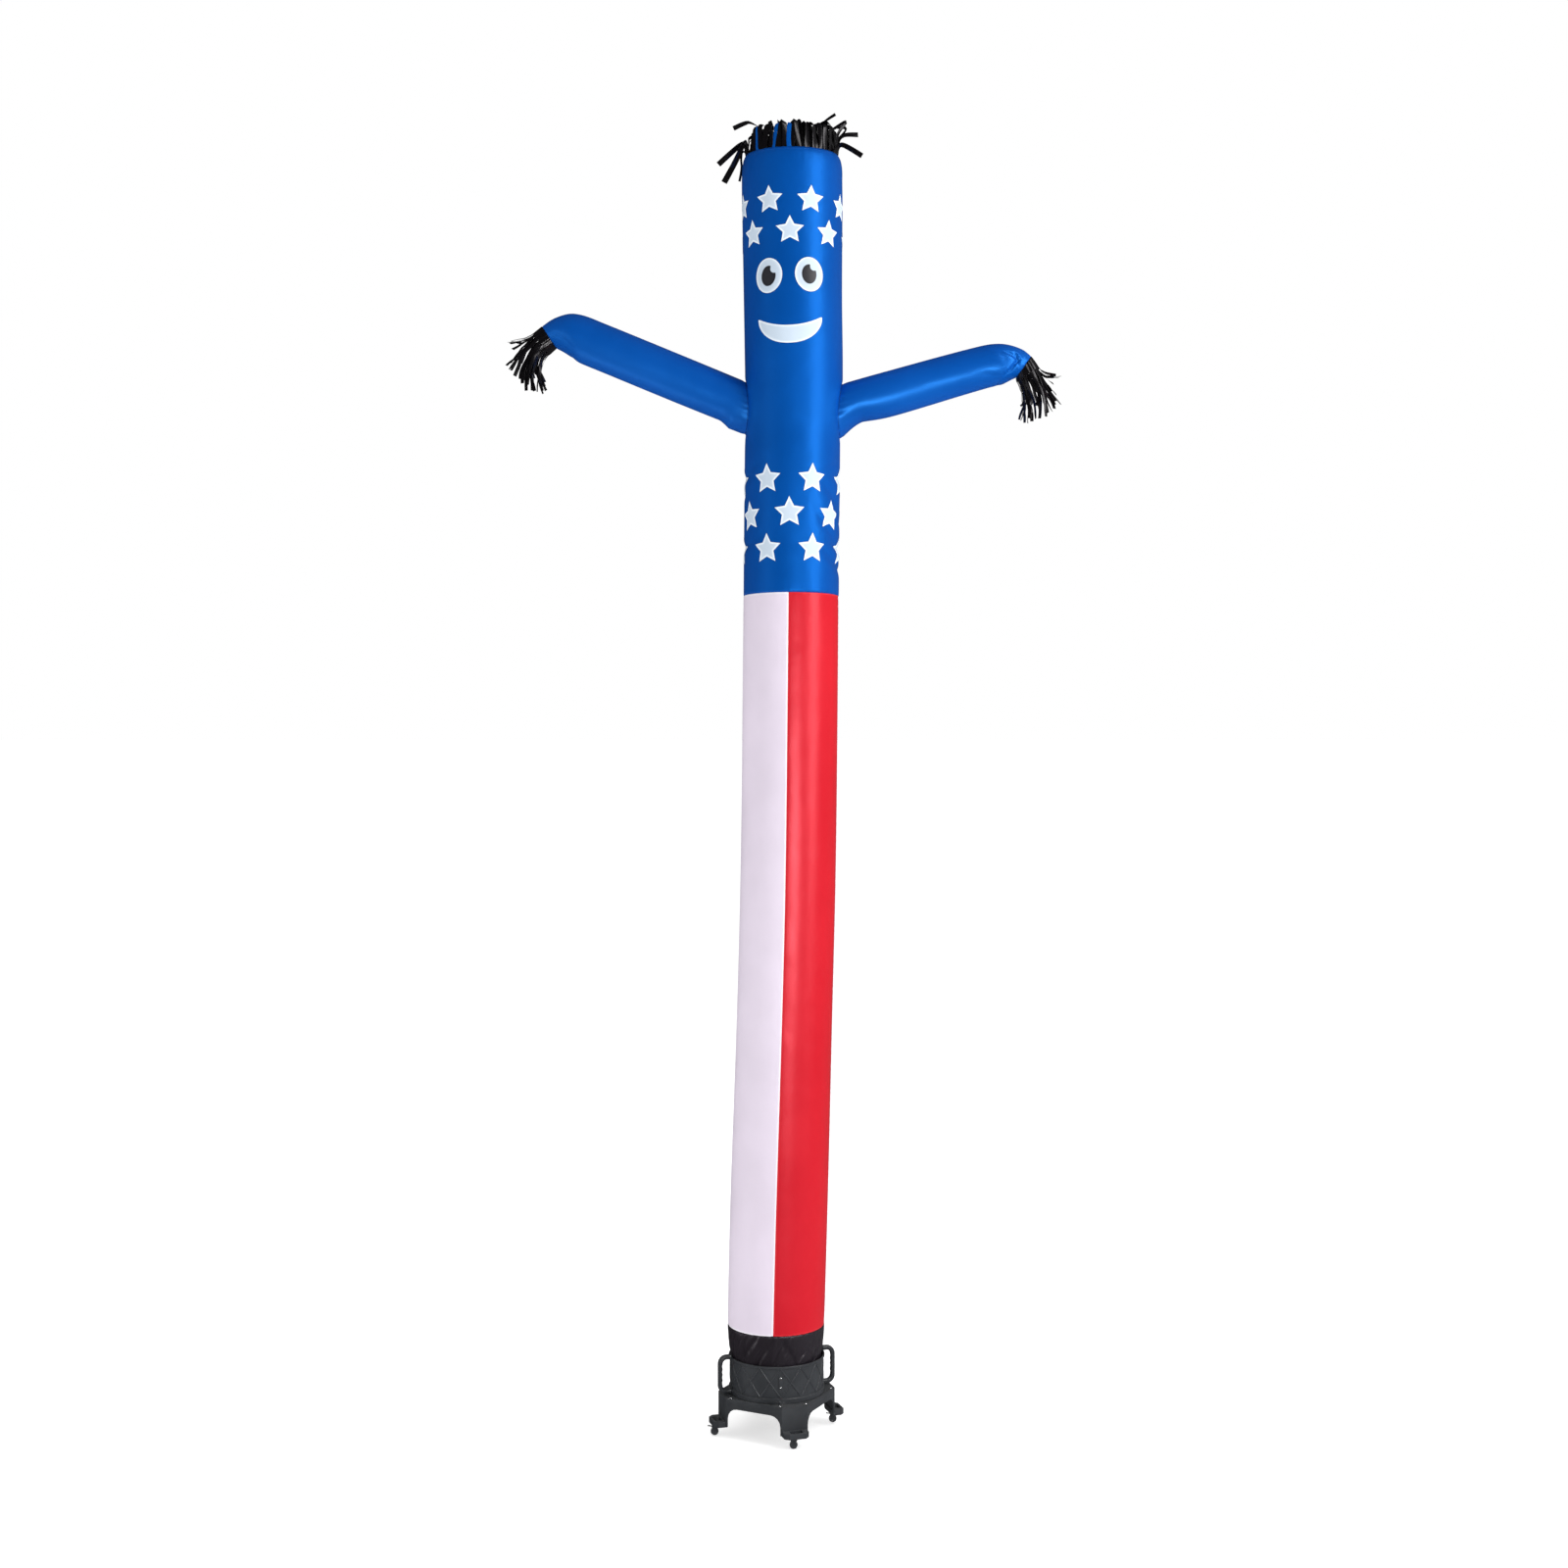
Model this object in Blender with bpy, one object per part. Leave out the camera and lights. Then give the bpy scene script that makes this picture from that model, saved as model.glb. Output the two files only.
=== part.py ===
"""Inflatable tube dancer on its blower.

Frame: metres, +Z up. The front faces -Y and the viewer's right is +X. The origin is on the floor,
under the middle of the blower. An azimuth is in degrees round the tube: 0 is the front, 90 the
viewer's right and 180 the back.

The tube is sewn from thin coated cloth: a black sleeve at the foot, four quarter panels in white and
red, a blue upper body with two arms, and black fringes at the head and the hands. It stands in the
drum of a portable blower, which rolls on four swivel castors with brake levers.
"""
import math
import random

import bmesh
import bpy
from mathutils import Matrix, Vector

# ---------------------------------------------------------------- cloth
GAP = 0.0003  # between pieces that meet
CLOTH = 0.001  # thickness of the cloth

# The inflated tube: height, sideways lean of its middle, radius
TUBE_SHAPE = (
    (0.330, -0.001, 0.2140),
    (0.364, -0.003, 0.2160),
    (0.420, -0.004, 0.2260),
    (0.508, -0.003, 0.2310),
    (1.110, 0.012, 0.2330),
    (1.860, 0.035, 0.2285),
    (2.610, 0.054, 0.2275),
    (3.540, 0.065, 0.2265),
    (4.660, 0.075, 0.2265),
    (5.400, 0.077, 0.2330),
    (5.840, 0.074, 0.2380),
    (5.930, 0.073, 0.2380),
    (5.990, 0.072, 0.2335),
    (6.030, 0.072, 0.2250),
    (6.050, 0.072, 0.2170),
)
TUBE_RADIUS = 0.228  # turns azimuth into distance along the cloth
COLUMNS = 28  # flat facets round the tube
SEAM_AZIMUTH = -3.3  # the front seam between the white and the red panel
PANELS = 4
SLEEVE_FOOT = 0.3303
SLEEVE_TOP = 0.508
PANEL_TOP = 3.973
TUBE_TOP = 6.050

SLEEVE_ROWS = (0.364, 0.395, 0.435, 0.475)
PANEL_STEPS = 12
BODY_ROWS = (
    4.030, 4.058, 4.085, 4.112, 4.152, 4.193, 4.234, 4.300, 4.370, 4.440, 4.488, 4.526, 4.564,
    4.640, 4.740, 4.860, 4.990, 5.150, 5.350, 5.550, 5.720, 5.840, 5.930, 5.970, 6.000, 6.030,
)

# Creases pressed into the tube: azimuth, height, slope, half length, half width, depth.
# A slope of 0 runs level round the tube, and a positive one rises to the viewer's right.
CREASES = (
    (104, 4.526, 0, 0.24, 0.022, 0.015),
    (-104, 4.528, 0, 0.22, 0.020, 0.011),
    (100, 4.193, -6, 0.24, 0.024, 0.017),
    (-104, 4.198, 4, 0.22, 0.022, 0.012),
    (96, 4.085, -24, 0.15, 0.022, 0.014),
    (66, 4.440, -34, 0.13, 0.034, 0.006),
    (178, 4.370, 8, 0.24, 0.036, 0.009),
    (-20, 0.395, 58, 0.10, 0.018, 0.006),
    (-42, 0.420, 52, 0.09, 0.018, 0.005),
    (22, 0.400, -64, 0.08, 0.018, 0.004),
    (60, 0.410, 66, 0.08, 0.020, 0.005),
    (-95, 0.410, 60, 0.09, 0.020, 0.005),
    (140, 0.405, -60, 0.09, 0.020, 0.005),
    (-150, 0.400, 62, 0.09, 0.020, 0.005),
)

# ---------------------------------------------------------------- arms
ARM_SIDES = 16
CUFF_STEPS = 2
# side: -1 is the viewer's left and 1 the right.
# shape: distance from the blower's axis, height, tilt of the tube above level, radius
# rings: the distances at which the cloth has a ring of points
# armpit: extra depth of the underside at the shoulder, where it starts, and how far out it fades
# cuff: from the cuff's seam to its fringed end, sideways and up, and the radius there
# spread: how far this hand's strands reach out, as a share of TASSEL_HANG
ARMS = (
    {
        "name": "left",
        "side": -1,
        "shape": (
            (0.050, 4.834, 22.2, 0.107),
            (0.450, 4.997, 22.2, 0.109),
            (0.860, 5.165, 21.0, 0.1085),
            (0.958, 5.202, 0.0, 0.108),
            (1.019, 5.204, -18.0, 0.091),
            (1.078, 5.198, -34.0, 0.062),
        ),
        "rings": (0.050, 0.165, 0.215, 0.280, 0.450, 0.655, 0.860, 0.912, 0.958, 0.990, 1.019, 1.050),
        "armpit": (0.026, 0.15, 0.12),
        "cuff": (-0.039, -0.032, 0.063),
        "spread": 1.02,
    },
    {
        "name": "right",
        "side": 1,
        "shape": (
            (0.150, 4.823, 15.8, 0.107),
            (0.550, 4.936, 15.8, 0.1065),
            (0.980, 5.058, 14.0, 0.100),
            (1.063, 5.071, 0.0, 0.097),
            (1.133, 5.069, -20.0, 0.079),
            (1.171, 5.058, -35.3, 0.062),
        ),
        "rings": (0.150, 0.315, 0.355, 0.410, 0.550, 0.765, 0.980, 1.025, 1.063, 1.098, 1.133, 1.154),
        "armpit": (0.042, 0.30, 0.10),
        "cuff": (0.022, -0.038, 0.063),
        "spread": 0.82,
    },
)

# ---------------------------------------------------------------- fringes
FRINGE_BAND = 0.012  # height of the narrow strip that carries the strands
STRAND_STEPS = 4

TASSEL_STRANDS = 16
TASSEL_WIDTH = 0.70  # share of the band's edge that the strands take
# Where a hand's strands end, from the outer top of the cuff round to its underside: angle round
# the cuff, then the tip from the root: away from the body, down, and towards the front
TASSEL_HANG = (
    (0.0, 0.092, 0.030, 0.020),
    (22.5, 0.104, 0.052, 0.100),
    (45.0, 0.121, 0.156, 0.075),
    (67.5, 0.100, 0.185, 0.060),
    (90.0, 0.075, 0.205, 0.050),
    (112.5, 0.062, 0.215, 0.040),
    (135.0, 0.045, 0.200, 0.028),
    (157.5, 0.020, 0.190, 0.014),
    (180.0, 0.008, 0.180, 0.000),
)
TASSEL_REAR_DROP = 0.012  # the strands behind hang this much less far down
TASSEL_BEND = 0.075  # how far a strand follows the cuff before it falls

HAIR_STRANDS = 40
HAIR_WIDTH = 0.80
HAIR_PHASE = 1.2  # azimuth of the strand nearest the front
HAIR_RISE = (0.122, 0.144)  # crests of alternate strands above the band
HAIR_LEAN = (0.003, 0.009)  # how far in alternate strands lean at their crest
HAIR_FOLD = 0.075  # how far a strand folds in over the vent
HAIR_STRAY = 0.006  # how far a crest strays sideways or in height
# Strands that fall loose: azimuth, reach out from the rim, height of the tip, height of the crest
HAIR_LOOSE = (
    (-105, 0.118, -0.020, 0.045),
    (-87, 0.128, -0.012, 0.060),
    (-78, 0.088, -0.090, 0.050),
    (-60, 0.052, 0.120, 0.100),
    (66, 0.020, 0.185, 0.120),
    (84, 0.076, 0.112, 0.085),
    (102, 0.098, 0.004, 0.060),
    (138, 0.070, 0.110, 0.085),
    (-150, 0.085, 0.030, 0.065),
    (174, 0.050, 0.130, 0.090),
)
RIBBON_AZIMUTHS = (-48.3, -21.3, -3.3)
RIBBON_INSET = 0.0007  # the blue ribbons' strip lies against the inside of the black one
RIBBON_RISE = 0.110
RIBBON_LEAN = 0.22  # how far a ribbon leans in for its height
RIBBON_HALF_ANGLE = 2.6

# ---------------------------------------------------------------- blower drum
YAW = 18.0  # azimuth of the front leg
DRUM_RADIUS = 0.225
DRUM_WALL = 0.007
DRUM_FOOT = 0.1903
DRUM_TOP = 0.364
BAND_RADIUS = 0.229  # plain bands above and below the diamond relief
RELIEF_LOW = 0.216
RELIEF_HIGH = 0.352
RELIEF_WIDTH = 0.0045
RELIEF_DEPTH = 0.003
DIAMONDS = 14
DIAMOND_AZIMUTH = YAW - 180.0 / DIAMONDS  # the diamond beside the front leg
LEDGE_RADIUS = 0.205  # the collar inside the rim that the sleeve stands on
LEDGE_TOP = 0.330
LEDGE_THICK = 0.008

# ---------------------------------------------------------------- blower base
BASE_TOP = 0.190
BASE_WALL = 0.006
LEG_FACE = 0.272  # from the axis to the cut-off corner, which carries the leg
LEG_HALF = 0.062
LEG_FOOT = 0.056
ARCH_HALF = 0.140
ARCH_TOP = 0.145
ARCH_ROUND = 0.050
BORE_RADIUS = 0.205
FOOT_LOW = 0.052
FOOT_HIGH = 0.078
FOOT_OUT = 0.325
FOOT_HALF = 0.060
FOOT_CUT = 0.020
POCKET_FLOOR = 0.064
POCKET_HALF = 0.030
POCKET_IN = 0.277
POCKET_OUT = 0.314
BOLT_OUT = 0.250
BOLT_ASIDE = 0.063
BOLT_RADIUS = 0.0065
BOLT_HIGH = 0.0045

# ---------------------------------------------------------------- handles and tie plate
HANDLE_LOW = 0.194
HANDLE_HIGH = 0.378
HANDLE_OUT = 0.292
HANDLE_THICK = 0.022
HANDLE_WIDE = 0.026
HANDLE_CORNER = 0.030
FINGERS = 4
FINGER_DEPTH = 0.002
PLATE_SEAT = 0.2231  # the middle ridge of the diamond's sunk face, from the axis
PLATE_MIDDLE = 0.287
PLATE_HIGH = 0.062
PLATE_WIDE = 0.018
PLATE_THICK = 0.003
SCREW_APART = 0.044
SCREW_RADIUS = 0.0042
SCREW_HIGH = 0.002

# ---------------------------------------------------------------- castors
CASTOR_OUT = 0.296  # from the blower's axis to the swivel
WHEEL_RADIUS = 0.019
WHEEL_WIDE = 0.014
WHEEL_SIDES = 16
TRAIL = 0.012  # the axle trails the swivel by this, towards -X
AXLE_RADIUS = 0.0025
CHEEK_INNER = 0.0082
CHEEK_THICK = 0.0024
CROWN_RADIUS = 0.013
CROWN_THICK = 0.0042
STEM_RADIUS = 0.004
NUT_RADIUS = 0.0075
NUT_THICK = 0.006
LEVER_BACK = 0.021  # from the swivel to the lever's pin
LEVER_HIGH = 0.0415
LEVER_PIN = 0.0016
LEVER_BARREL = 0.0035
LEVER_REACH = 0.024
LEVER_THICK = 0.002
LEVER_HALF = 0.0065
LEVER_LIFT = 8.0  # degrees that the tab slopes up when the brake is off


# ================================================================ tools
def clear_scene():
    for ob in list(bpy.data.objects):
        bpy.data.objects.remove(ob, do_unlink=True)


def finish(name, colour, roughness, metallic=0.0):
    """A plain Principled finish."""
    material = bpy.data.materials.new(name)
    material.use_nodes = True
    shader = material.node_tree.nodes["Principled BSDF"]
    shader.inputs["Base Color"].default_value = (*colour, 1.0)
    shader.inputs["Roughness"].default_value = roughness
    shader.inputs["Metallic"].default_value = metallic
    return material


def add_object(name, mesh, material=None):
    ob = bpy.data.objects.new(name, mesh)
    bpy.context.scene.collection.objects.link(ob)
    if material:
        mesh.materials.clear()
        mesh.materials.append(material)
    return ob


def mesh_from(name, bm, outward=True):
    """The finished mesh of a bmesh, with its faces turned outwards."""
    if outward:
        bmesh.ops.recalc_face_normals(bm, faces=bm.faces)
    mesh = bpy.data.meshes.new(name)
    bm.to_mesh(mesh)
    bm.free()
    mesh.shade_smooth()
    mesh.set_sharp_from_angle(angle=math.radians(40))
    return mesh


def smooth(rows, at):
    """Every column of a table after the first, read off a smooth curve through its rows."""
    last = len(rows) - 1
    k = max(0, min(last - 1, sum(1 for row in rows if row[0] <= at) - 1))
    low, high = rows[k], rows[k + 1]
    step = high[0] - low[0]
    t = (at - low[0]) / step
    before, after = rows[max(k - 1, 0)], rows[min(k + 2, last)]
    values = []
    for c in range(1, len(low)):
        slope_low = (high[c] - before[c]) / (high[0] - before[0]) * step
        slope_high = (after[c] - low[c]) / (after[0] - low[0]) * step
        h = 2 * t**3 - 3 * t**2 + 1
        values.append(
            h * low[c]
            + (t**3 - 2 * t**2 + t) * slope_low
            + (1 - h) * high[c]
            + (t**3 - t**2) * slope_high
        )
    return values


def apply_modifiers(ob):
    graph = bpy.context.evaluated_depsgraph_get()
    graph.update()
    mesh = bpy.data.meshes.new_from_object(ob.evaluated_get(graph))
    ob.modifiers.clear()
    ob.data = mesh


def combine(ob, tool, operation):
    """Cut the tool from ob, or fuse it on, and remove the tool."""
    modifier = ob.modifiers.new("combine", "BOOLEAN")
    modifier.operation = operation
    modifier.solver = "EXACT"
    modifier.object = tool
    apply_modifiers(ob)
    bpy.data.objects.remove(tool, do_unlink=True)


def prism(name, outline, low, high):
    """A closed prism on an outline of (x, y) points."""
    bm = bmesh.new()
    floor = [bm.verts.new((x, y, low)) for x, y in outline]
    roof = [bm.verts.new((x, y, high)) for x, y in outline]
    bm.faces.new(floor)
    bm.faces.new(roof)
    for i in range(len(outline)):
        j = (i + 1) % len(outline)
        bm.faces.new((floor[i], floor[j], roof[j], roof[i]))
    return add_object(name, mesh_from(name, bm))


def turned(name, profile, sides, start=0.0):
    """A closed body turned round Z from a closed profile of (radius, height) points."""
    bm = bmesh.new()
    rings = []
    for radius, height in profile:
        ring = []
        for i in range(sides):
            a = math.radians(start) + 2 * math.pi * i / sides
            ring.append(bm.verts.new((radius * math.cos(a), radius * math.sin(a), height)))
        rings.append(ring)
    for k in range(len(profile)):
        ring, above = rings[k], rings[(k + 1) % len(profile)]
        if profile[k][0] == 0 and profile[(k + 1) % len(profile)][0] == 0:
            continue
        for i in range(sides):
            j = (i + 1) % sides
            bm.faces.new((ring[i], ring[j], above[j], above[i]))
    bmesh.ops.remove_doubles(bm, verts=bm.verts, dist=1e-6)
    return add_object(name, mesh_from(name, bm))


def rod(name, radius, start, end, sides):
    """A round rod between two points."""
    length = (end - start).length
    ob = turned(name, ((0, 0), (radius, 0), (radius, length), (0, length)), sides, 180 / sides)
    turn = Vector((0, 0, 1)).rotation_difference(end - start).to_matrix().to_4x4()
    ob.data.transform(Matrix.Translation(start) @ turn)
    return ob


def direction(azimuth):
    """The level unit vector at an azimuth."""
    a = math.radians(azimuth)
    return Vector((math.sin(a), -math.cos(a), 0.0))


# ================================================================ the tube
def crease_depth(azimuth, height):
    depth = 0.0
    for around, above, slope, half_length, half_width, deepest in CREASES:
        turn = (azimuth - around + 180) % 360 - 180
        u = math.radians(turn) * TUBE_RADIUS
        v = height - above
        s = math.radians(slope)
        along = u * math.cos(s) + v * math.sin(s)
        aside = v * math.cos(s) - u * math.sin(s)
        if abs(along) < half_length:
            fade = math.cos(along / half_length * math.pi / 2)
            depth += deepest * fade * math.exp(-((aside / half_width) ** 2))
    return depth


def tube_point(azimuth, height, grow=0.0):
    """A point on the tube's outer face."""
    lean, radius = smooth(TUBE_SHAPE, height)
    reach = radius + grow - crease_depth(azimuth, height)
    return Vector((lean, 0.0, height)) + direction(azimuth) * reach


def tube_rows(heights, azimuths, grow=0.0):
    return [[tube_point(a, z, grow) for a in azimuths] for z in heights]


def round_azimuths():
    return [SEAM_AZIMUTH + 360.0 * i / COLUMNS for i in range(COLUMNS)]


def skin(name, rows, closed):
    """The open surface through equal rows of points, facing the side that each row is wound to."""
    bm = bmesh.new()
    verts = [[bm.verts.new(p) for p in row] for row in rows]
    count = len(rows[0])
    for k in range(len(rows) - 1):
        for i in range(count if closed else count - 1):
            j = (i + 1) % count
            bm.faces.new((verts[k][i], verts[k][j], verts[k + 1][j], verts[k + 1][i]))
    return mesh_from(name, bm, outward=False)


def cloth(name, rows, closed, material):
    """A piece of cloth whose outer face passes through the rows."""
    ob = add_object(name, skin(name, rows, closed), material)
    thickness = ob.modifiers.new("thickness", "SOLIDIFY")
    thickness.thickness = CLOTH
    thickness.offset = -1.0
    thickness.use_even_offset = True
    return ob


def plug(name, rows):
    """A closed body filling a stack of rings."""
    bm = bmesh.new()
    verts = [[bm.verts.new(p) for p in row] for row in rows]
    count = len(rows[0])
    for k in range(len(rows) - 1):
        for i in range(count):
            j = (i + 1) % count
            bm.faces.new((verts[k][i], verts[k][j], verts[k + 1][j], verts[k + 1][i]))
    bm.faces.new(verts[0])
    bm.faces.new(verts[-1])
    return add_object(name, mesh_from(name, bm))


def build_sleeve(material):
    heights = [SLEEVE_FOOT, *SLEEVE_ROWS, SLEEVE_TOP - GAP / 2]
    cloth("foot_sleeve", tube_rows(heights, round_azimuths()), True, material)


def build_panels(materials):
    """Quarter panels, white and red in turn, the first one to the right of the front seam."""
    low, high = SLEEVE_TOP + GAP / 2, PANEL_TOP - GAP / 2
    heights = [low + (high - low) * k / PANEL_STEPS for k in range(PANEL_STEPS + 1)]
    quarter = 360.0 / PANELS
    edge = math.degrees(GAP / 2 / TUBE_RADIUS)
    per_panel = COLUMNS // PANELS
    for k in range(PANELS):
        start = SEAM_AZIMUTH + quarter * k
        azimuths = [start + quarter * i / per_panel for i in range(per_panel + 1)]
        azimuths[0] += edge
        azimuths[-1] -= edge
        colour = ("red", "white")[k % 2]
        name = f"panel_{colour}_{k // 2 + 1}"
        cloth(name, tube_rows(heights, azimuths), False, materials[colour])


def build_body(material):
    """The blue upper body, with a hole at each shoulder that the arm's bore continues."""
    heights = [PANEL_TOP + GAP / 2, *BODY_ROWS, TUBE_TOP]
    body = cloth("upper_body", tube_rows(heights, round_azimuths()), True, material)
    apply_modifiers(body)
    for arm in ARMS:
        reach = arm["rings"][:5]
        bore = plug("bore", [arm_ring(arm, r, -CLOTH - GAP) for r in reach])
        combine(body, bore, "DIFFERENCE")


# ================================================================ arms and cuffs
def arm_ring(arm, reach, grow=0.0):
    """One ring of an arm, from its top round by the front on the right arm and the back on the left."""
    height, tilt, radius = smooth(arm["shape"], reach)
    side = arm["side"]
    t = math.radians(tilt)
    up = Vector((-math.sin(t) * side, 0.0, math.cos(t)))
    middle = Vector((reach * side, 0.0, height))
    drop, root, fade = arm["armpit"]
    nearness = max(0.0, 1.0 - max(0.0, reach - root) / fade)
    ring = []
    for i in range(ARM_SIDES):
        a = side * 2 * math.pi * i / ARM_SIDES
        flare = drop * max(0.0, -math.cos(a)) ** 1.5 * nearness**2
        offset = up * math.cos(a) + Vector((0.0, -math.sin(a), 0.0))
        ring.append(middle + offset * (radius + flare + grow))
    return ring


def cuff_ring(arm, t):
    """One ring of a cuff: 0 is its seam with the arm, and 1 its fringed end."""
    reach, height, tilt, radius = arm["shape"][-1]
    dx, dz, end_radius = arm["cuff"]
    side = arm["side"]
    turn = math.radians(tilt + (math.degrees(math.atan2(dz, dx * side)) - tilt) * t)
    up = Vector((-math.sin(turn) * side, 0.0, math.cos(turn)))
    along = Vector((math.cos(turn) * side, 0.0, math.sin(turn)))
    middle = Vector((reach * side + dx * t, 0.0, height + dz * t))
    size = radius + (end_radius - radius) * t
    return middle, up, along, size


def build_arm(arm, blue, black):
    rings = [arm_ring(arm, r) for r in (*arm["rings"], arm["shape"][-1][0])]
    ob = cloth(f"arm_{arm['name']}", rings, True, blue)
    apply_modifiers(ob)
    heights = [z for z in BODY_ROWS if 4.3 < z < 5.4]
    shoulder = plug("shoulder", tube_rows(heights, round_azimuths(), GAP))
    combine(ob, shoulder, "DIFFERENCE")

    rows = []
    for k in range(CUFF_STEPS + 1):
        middle, up, along, size = cuff_ring(arm, k / CUFF_STEPS)
        row = []
        for i in range(ARM_SIDES):
            a = arm["side"] * 2 * math.pi * i / ARM_SIDES
            row.append(middle + (up * math.cos(a) + Vector((0.0, -math.sin(a), 0.0))) * size)
        if k == 0:
            row = [p + along * GAP for p in row]
        rows.append(row)
    cloth(f"cuff_{arm['name']}", rows, True, black)


# ================================================================ fringes
def strand_sections(root, tip_path, half_width, aside):
    """Cross-sections of a flat strand along its path, each with its two outer points first."""
    sections = []
    points = [root, *tip_path]
    for k in range(1, len(points)):
        ahead = points[min(k + 1, len(points) - 1)]
        along = (ahead - points[k - 1]).normalized()
        outer = aside.cross(along).normalized() * CLOTH / 2
        wide = aside * half_width
        p = points[k]
        sections.append((p - wide + outer, p + wide + outer, p + wide - outer, p - wide - outer))
    return sections


def fringe(name, edge, outward, along, paths, material, closed=True):
    """A narrow band of cloth, with a strand growing from every even stretch of its edge.

    edge holds the band's lower outer points, outward the direction away from the middle at each,
    along the way from the band to the strands, and paths one list of points for each strand.
    """
    bm = bmesh.new()
    corners = []
    for p, out in zip(edge, outward):
        inner = p - out * CLOTH
        rise = along * FRINGE_BAND
        corners.append([bm.verts.new(q) for q in (p, p + rise, inner + rise, inner)])
    count = len(edge)
    for i in range(count if closed else count - 1):
        (lo, uo, ui, li), (lo2, uo2, ui2, li2) = corners[i], corners[(i + 1) % count]
        bm.faces.new((lo, lo2, uo2, uo))
        bm.faces.new((li2, li, ui, ui2))
        bm.faces.new((lo2, lo, li, li2))
        if i % 2:
            bm.faces.new((uo, uo2, ui2, ui))
            continue
        width = uo2.co - uo.co
        root = (uo.co + uo2.co + ui.co + ui2.co) / 4
        below = (uo, uo2, ui2, ui)
        for section in strand_sections(root, paths[i // 2], width.length / 2, width.normalized()):
            above = [bm.verts.new(q) for q in section]
            for a in range(4):
                b = (a + 1) % 4
                bm.faces.new((below[a], below[b], above[b], above[a]))
            below = above
        bm.faces.new(below)
    if not closed:
        bm.faces.new(corners[0])
        bm.faces.new(corners[-1])
    add_object(name, mesh_from(name, bm), material)


def tassel_path(arm, root, turn, along):
    """How one strand of a hand hangs: out along the cuff at first, then down."""
    angle = abs((turn + 180) % 360 - 180)
    out, down, front = smooth(TASSEL_HANG, min(angle, 179.9))
    if turn > 180:
        down, front = down - TASSEL_REAR_DROP, -front
    tip = Vector((out * arm["spread"] * arm["side"], -front, -down))
    path = []
    for k in range(1, STRAND_STEPS + 1):
        t = k / STRAND_STEPS
        path.append(root + along * TASSEL_BEND * 2 * t * (1 - t) + tip * t * (0.25 + 0.75 * t))
    return path


def build_tassel(arm, material):
    middle, up, along, size = cuff_ring(arm, 1.0)
    middle = middle + along * GAP
    pitch = 360.0 / TASSEL_STRANDS
    edge, outward, paths = [], [], []
    for k in range(TASSEL_STRANDS):
        for offset in (-TASSEL_WIDTH / 2, TASSEL_WIDTH / 2):
            a = arm["side"] * math.radians(pitch * (k + offset))
            out = up * math.cos(a) + Vector((0.0, -math.sin(a), 0.0))
            edge.append(middle + out * size)
            outward.append(out)
        turn = (arm["side"] * pitch * k) % 360
        a = math.radians(turn)
        out = up * math.cos(a) + Vector((0.0, -math.sin(a), 0.0))
        root = middle + out * (size * math.cos(math.radians(pitch * TASSEL_WIDTH / 2)) - CLOTH / 2)
        paths.append(tassel_path(arm, root + along * FRINGE_BAND, turn, along))
    fringe(f"tassel_{arm['name']}", edge, outward, along, paths, material)


def hair_path(azimuth, root, index, loose, stray):
    """A standing strand, which folds in over the vent, or falls outwards if it is loose."""
    out = direction(azimuth)
    aside = direction(azimuth + 90) * HAIR_STRAY * stray.uniform(-1, 1)
    if loose:
        reach, tip, crest = loose[1:]
        shape = (
            (0.10 * reach, 0.55 * crest),
            (0.36 * reach, crest),
            (0.70 * reach, (crest + tip) / 2 + 0.012),
            (reach, tip),
        )
    else:
        rise = HAIR_RISE[index % 2] + HAIR_STRAY * stray.uniform(-1, 1)
        lean = HAIR_LEAN[index % 2]
        shape = (
            (-0.45 * lean, 0.45 * rise),
            (-lean, 0.86 * rise),
            (-lean - 0.30 * HAIR_FOLD, rise),
            (-lean - HAIR_FOLD, rise - 0.012),
        )
    path = []
    for k, (reach, height) in enumerate(shape):
        t = min(1.0, (k + 1) / 2)
        path.append(root + out * reach + aside * t**1.5 + Vector((0.0, 0.0, height)))
    return path


def build_hair(material):
    lean, radius = TUBE_SHAPE[-1][1:]
    middle = Vector((lean, 0.0, TUBE_TOP + GAP))
    pitch = 360.0 / HAIR_STRANDS
    half = pitch * HAIR_WIDTH / 2
    stray = random.Random(7)
    edge, outward, paths = [], [], []
    for k in range(HAIR_STRANDS):
        azimuth = HAIR_PHASE + pitch * k
        for offset in (-half, half):
            outward.append(direction(azimuth + offset))
            edge.append(middle + outward[-1] * radius)
        inner = radius * math.cos(math.radians(half)) - CLOTH / 2
        root = middle + direction(azimuth) * inner + Vector((0.0, 0.0, FRINGE_BAND))
        near = [row for row in HAIR_LOOSE if abs((azimuth - row[0] + 180) % 360 - 180) < pitch / 2]
        paths.append(hair_path(azimuth, root, k, near[0] if near else None, stray))
    fringe("hair_fringe", edge, outward, Vector((0.0, 0.0, 1.0)), paths, material)


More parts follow.
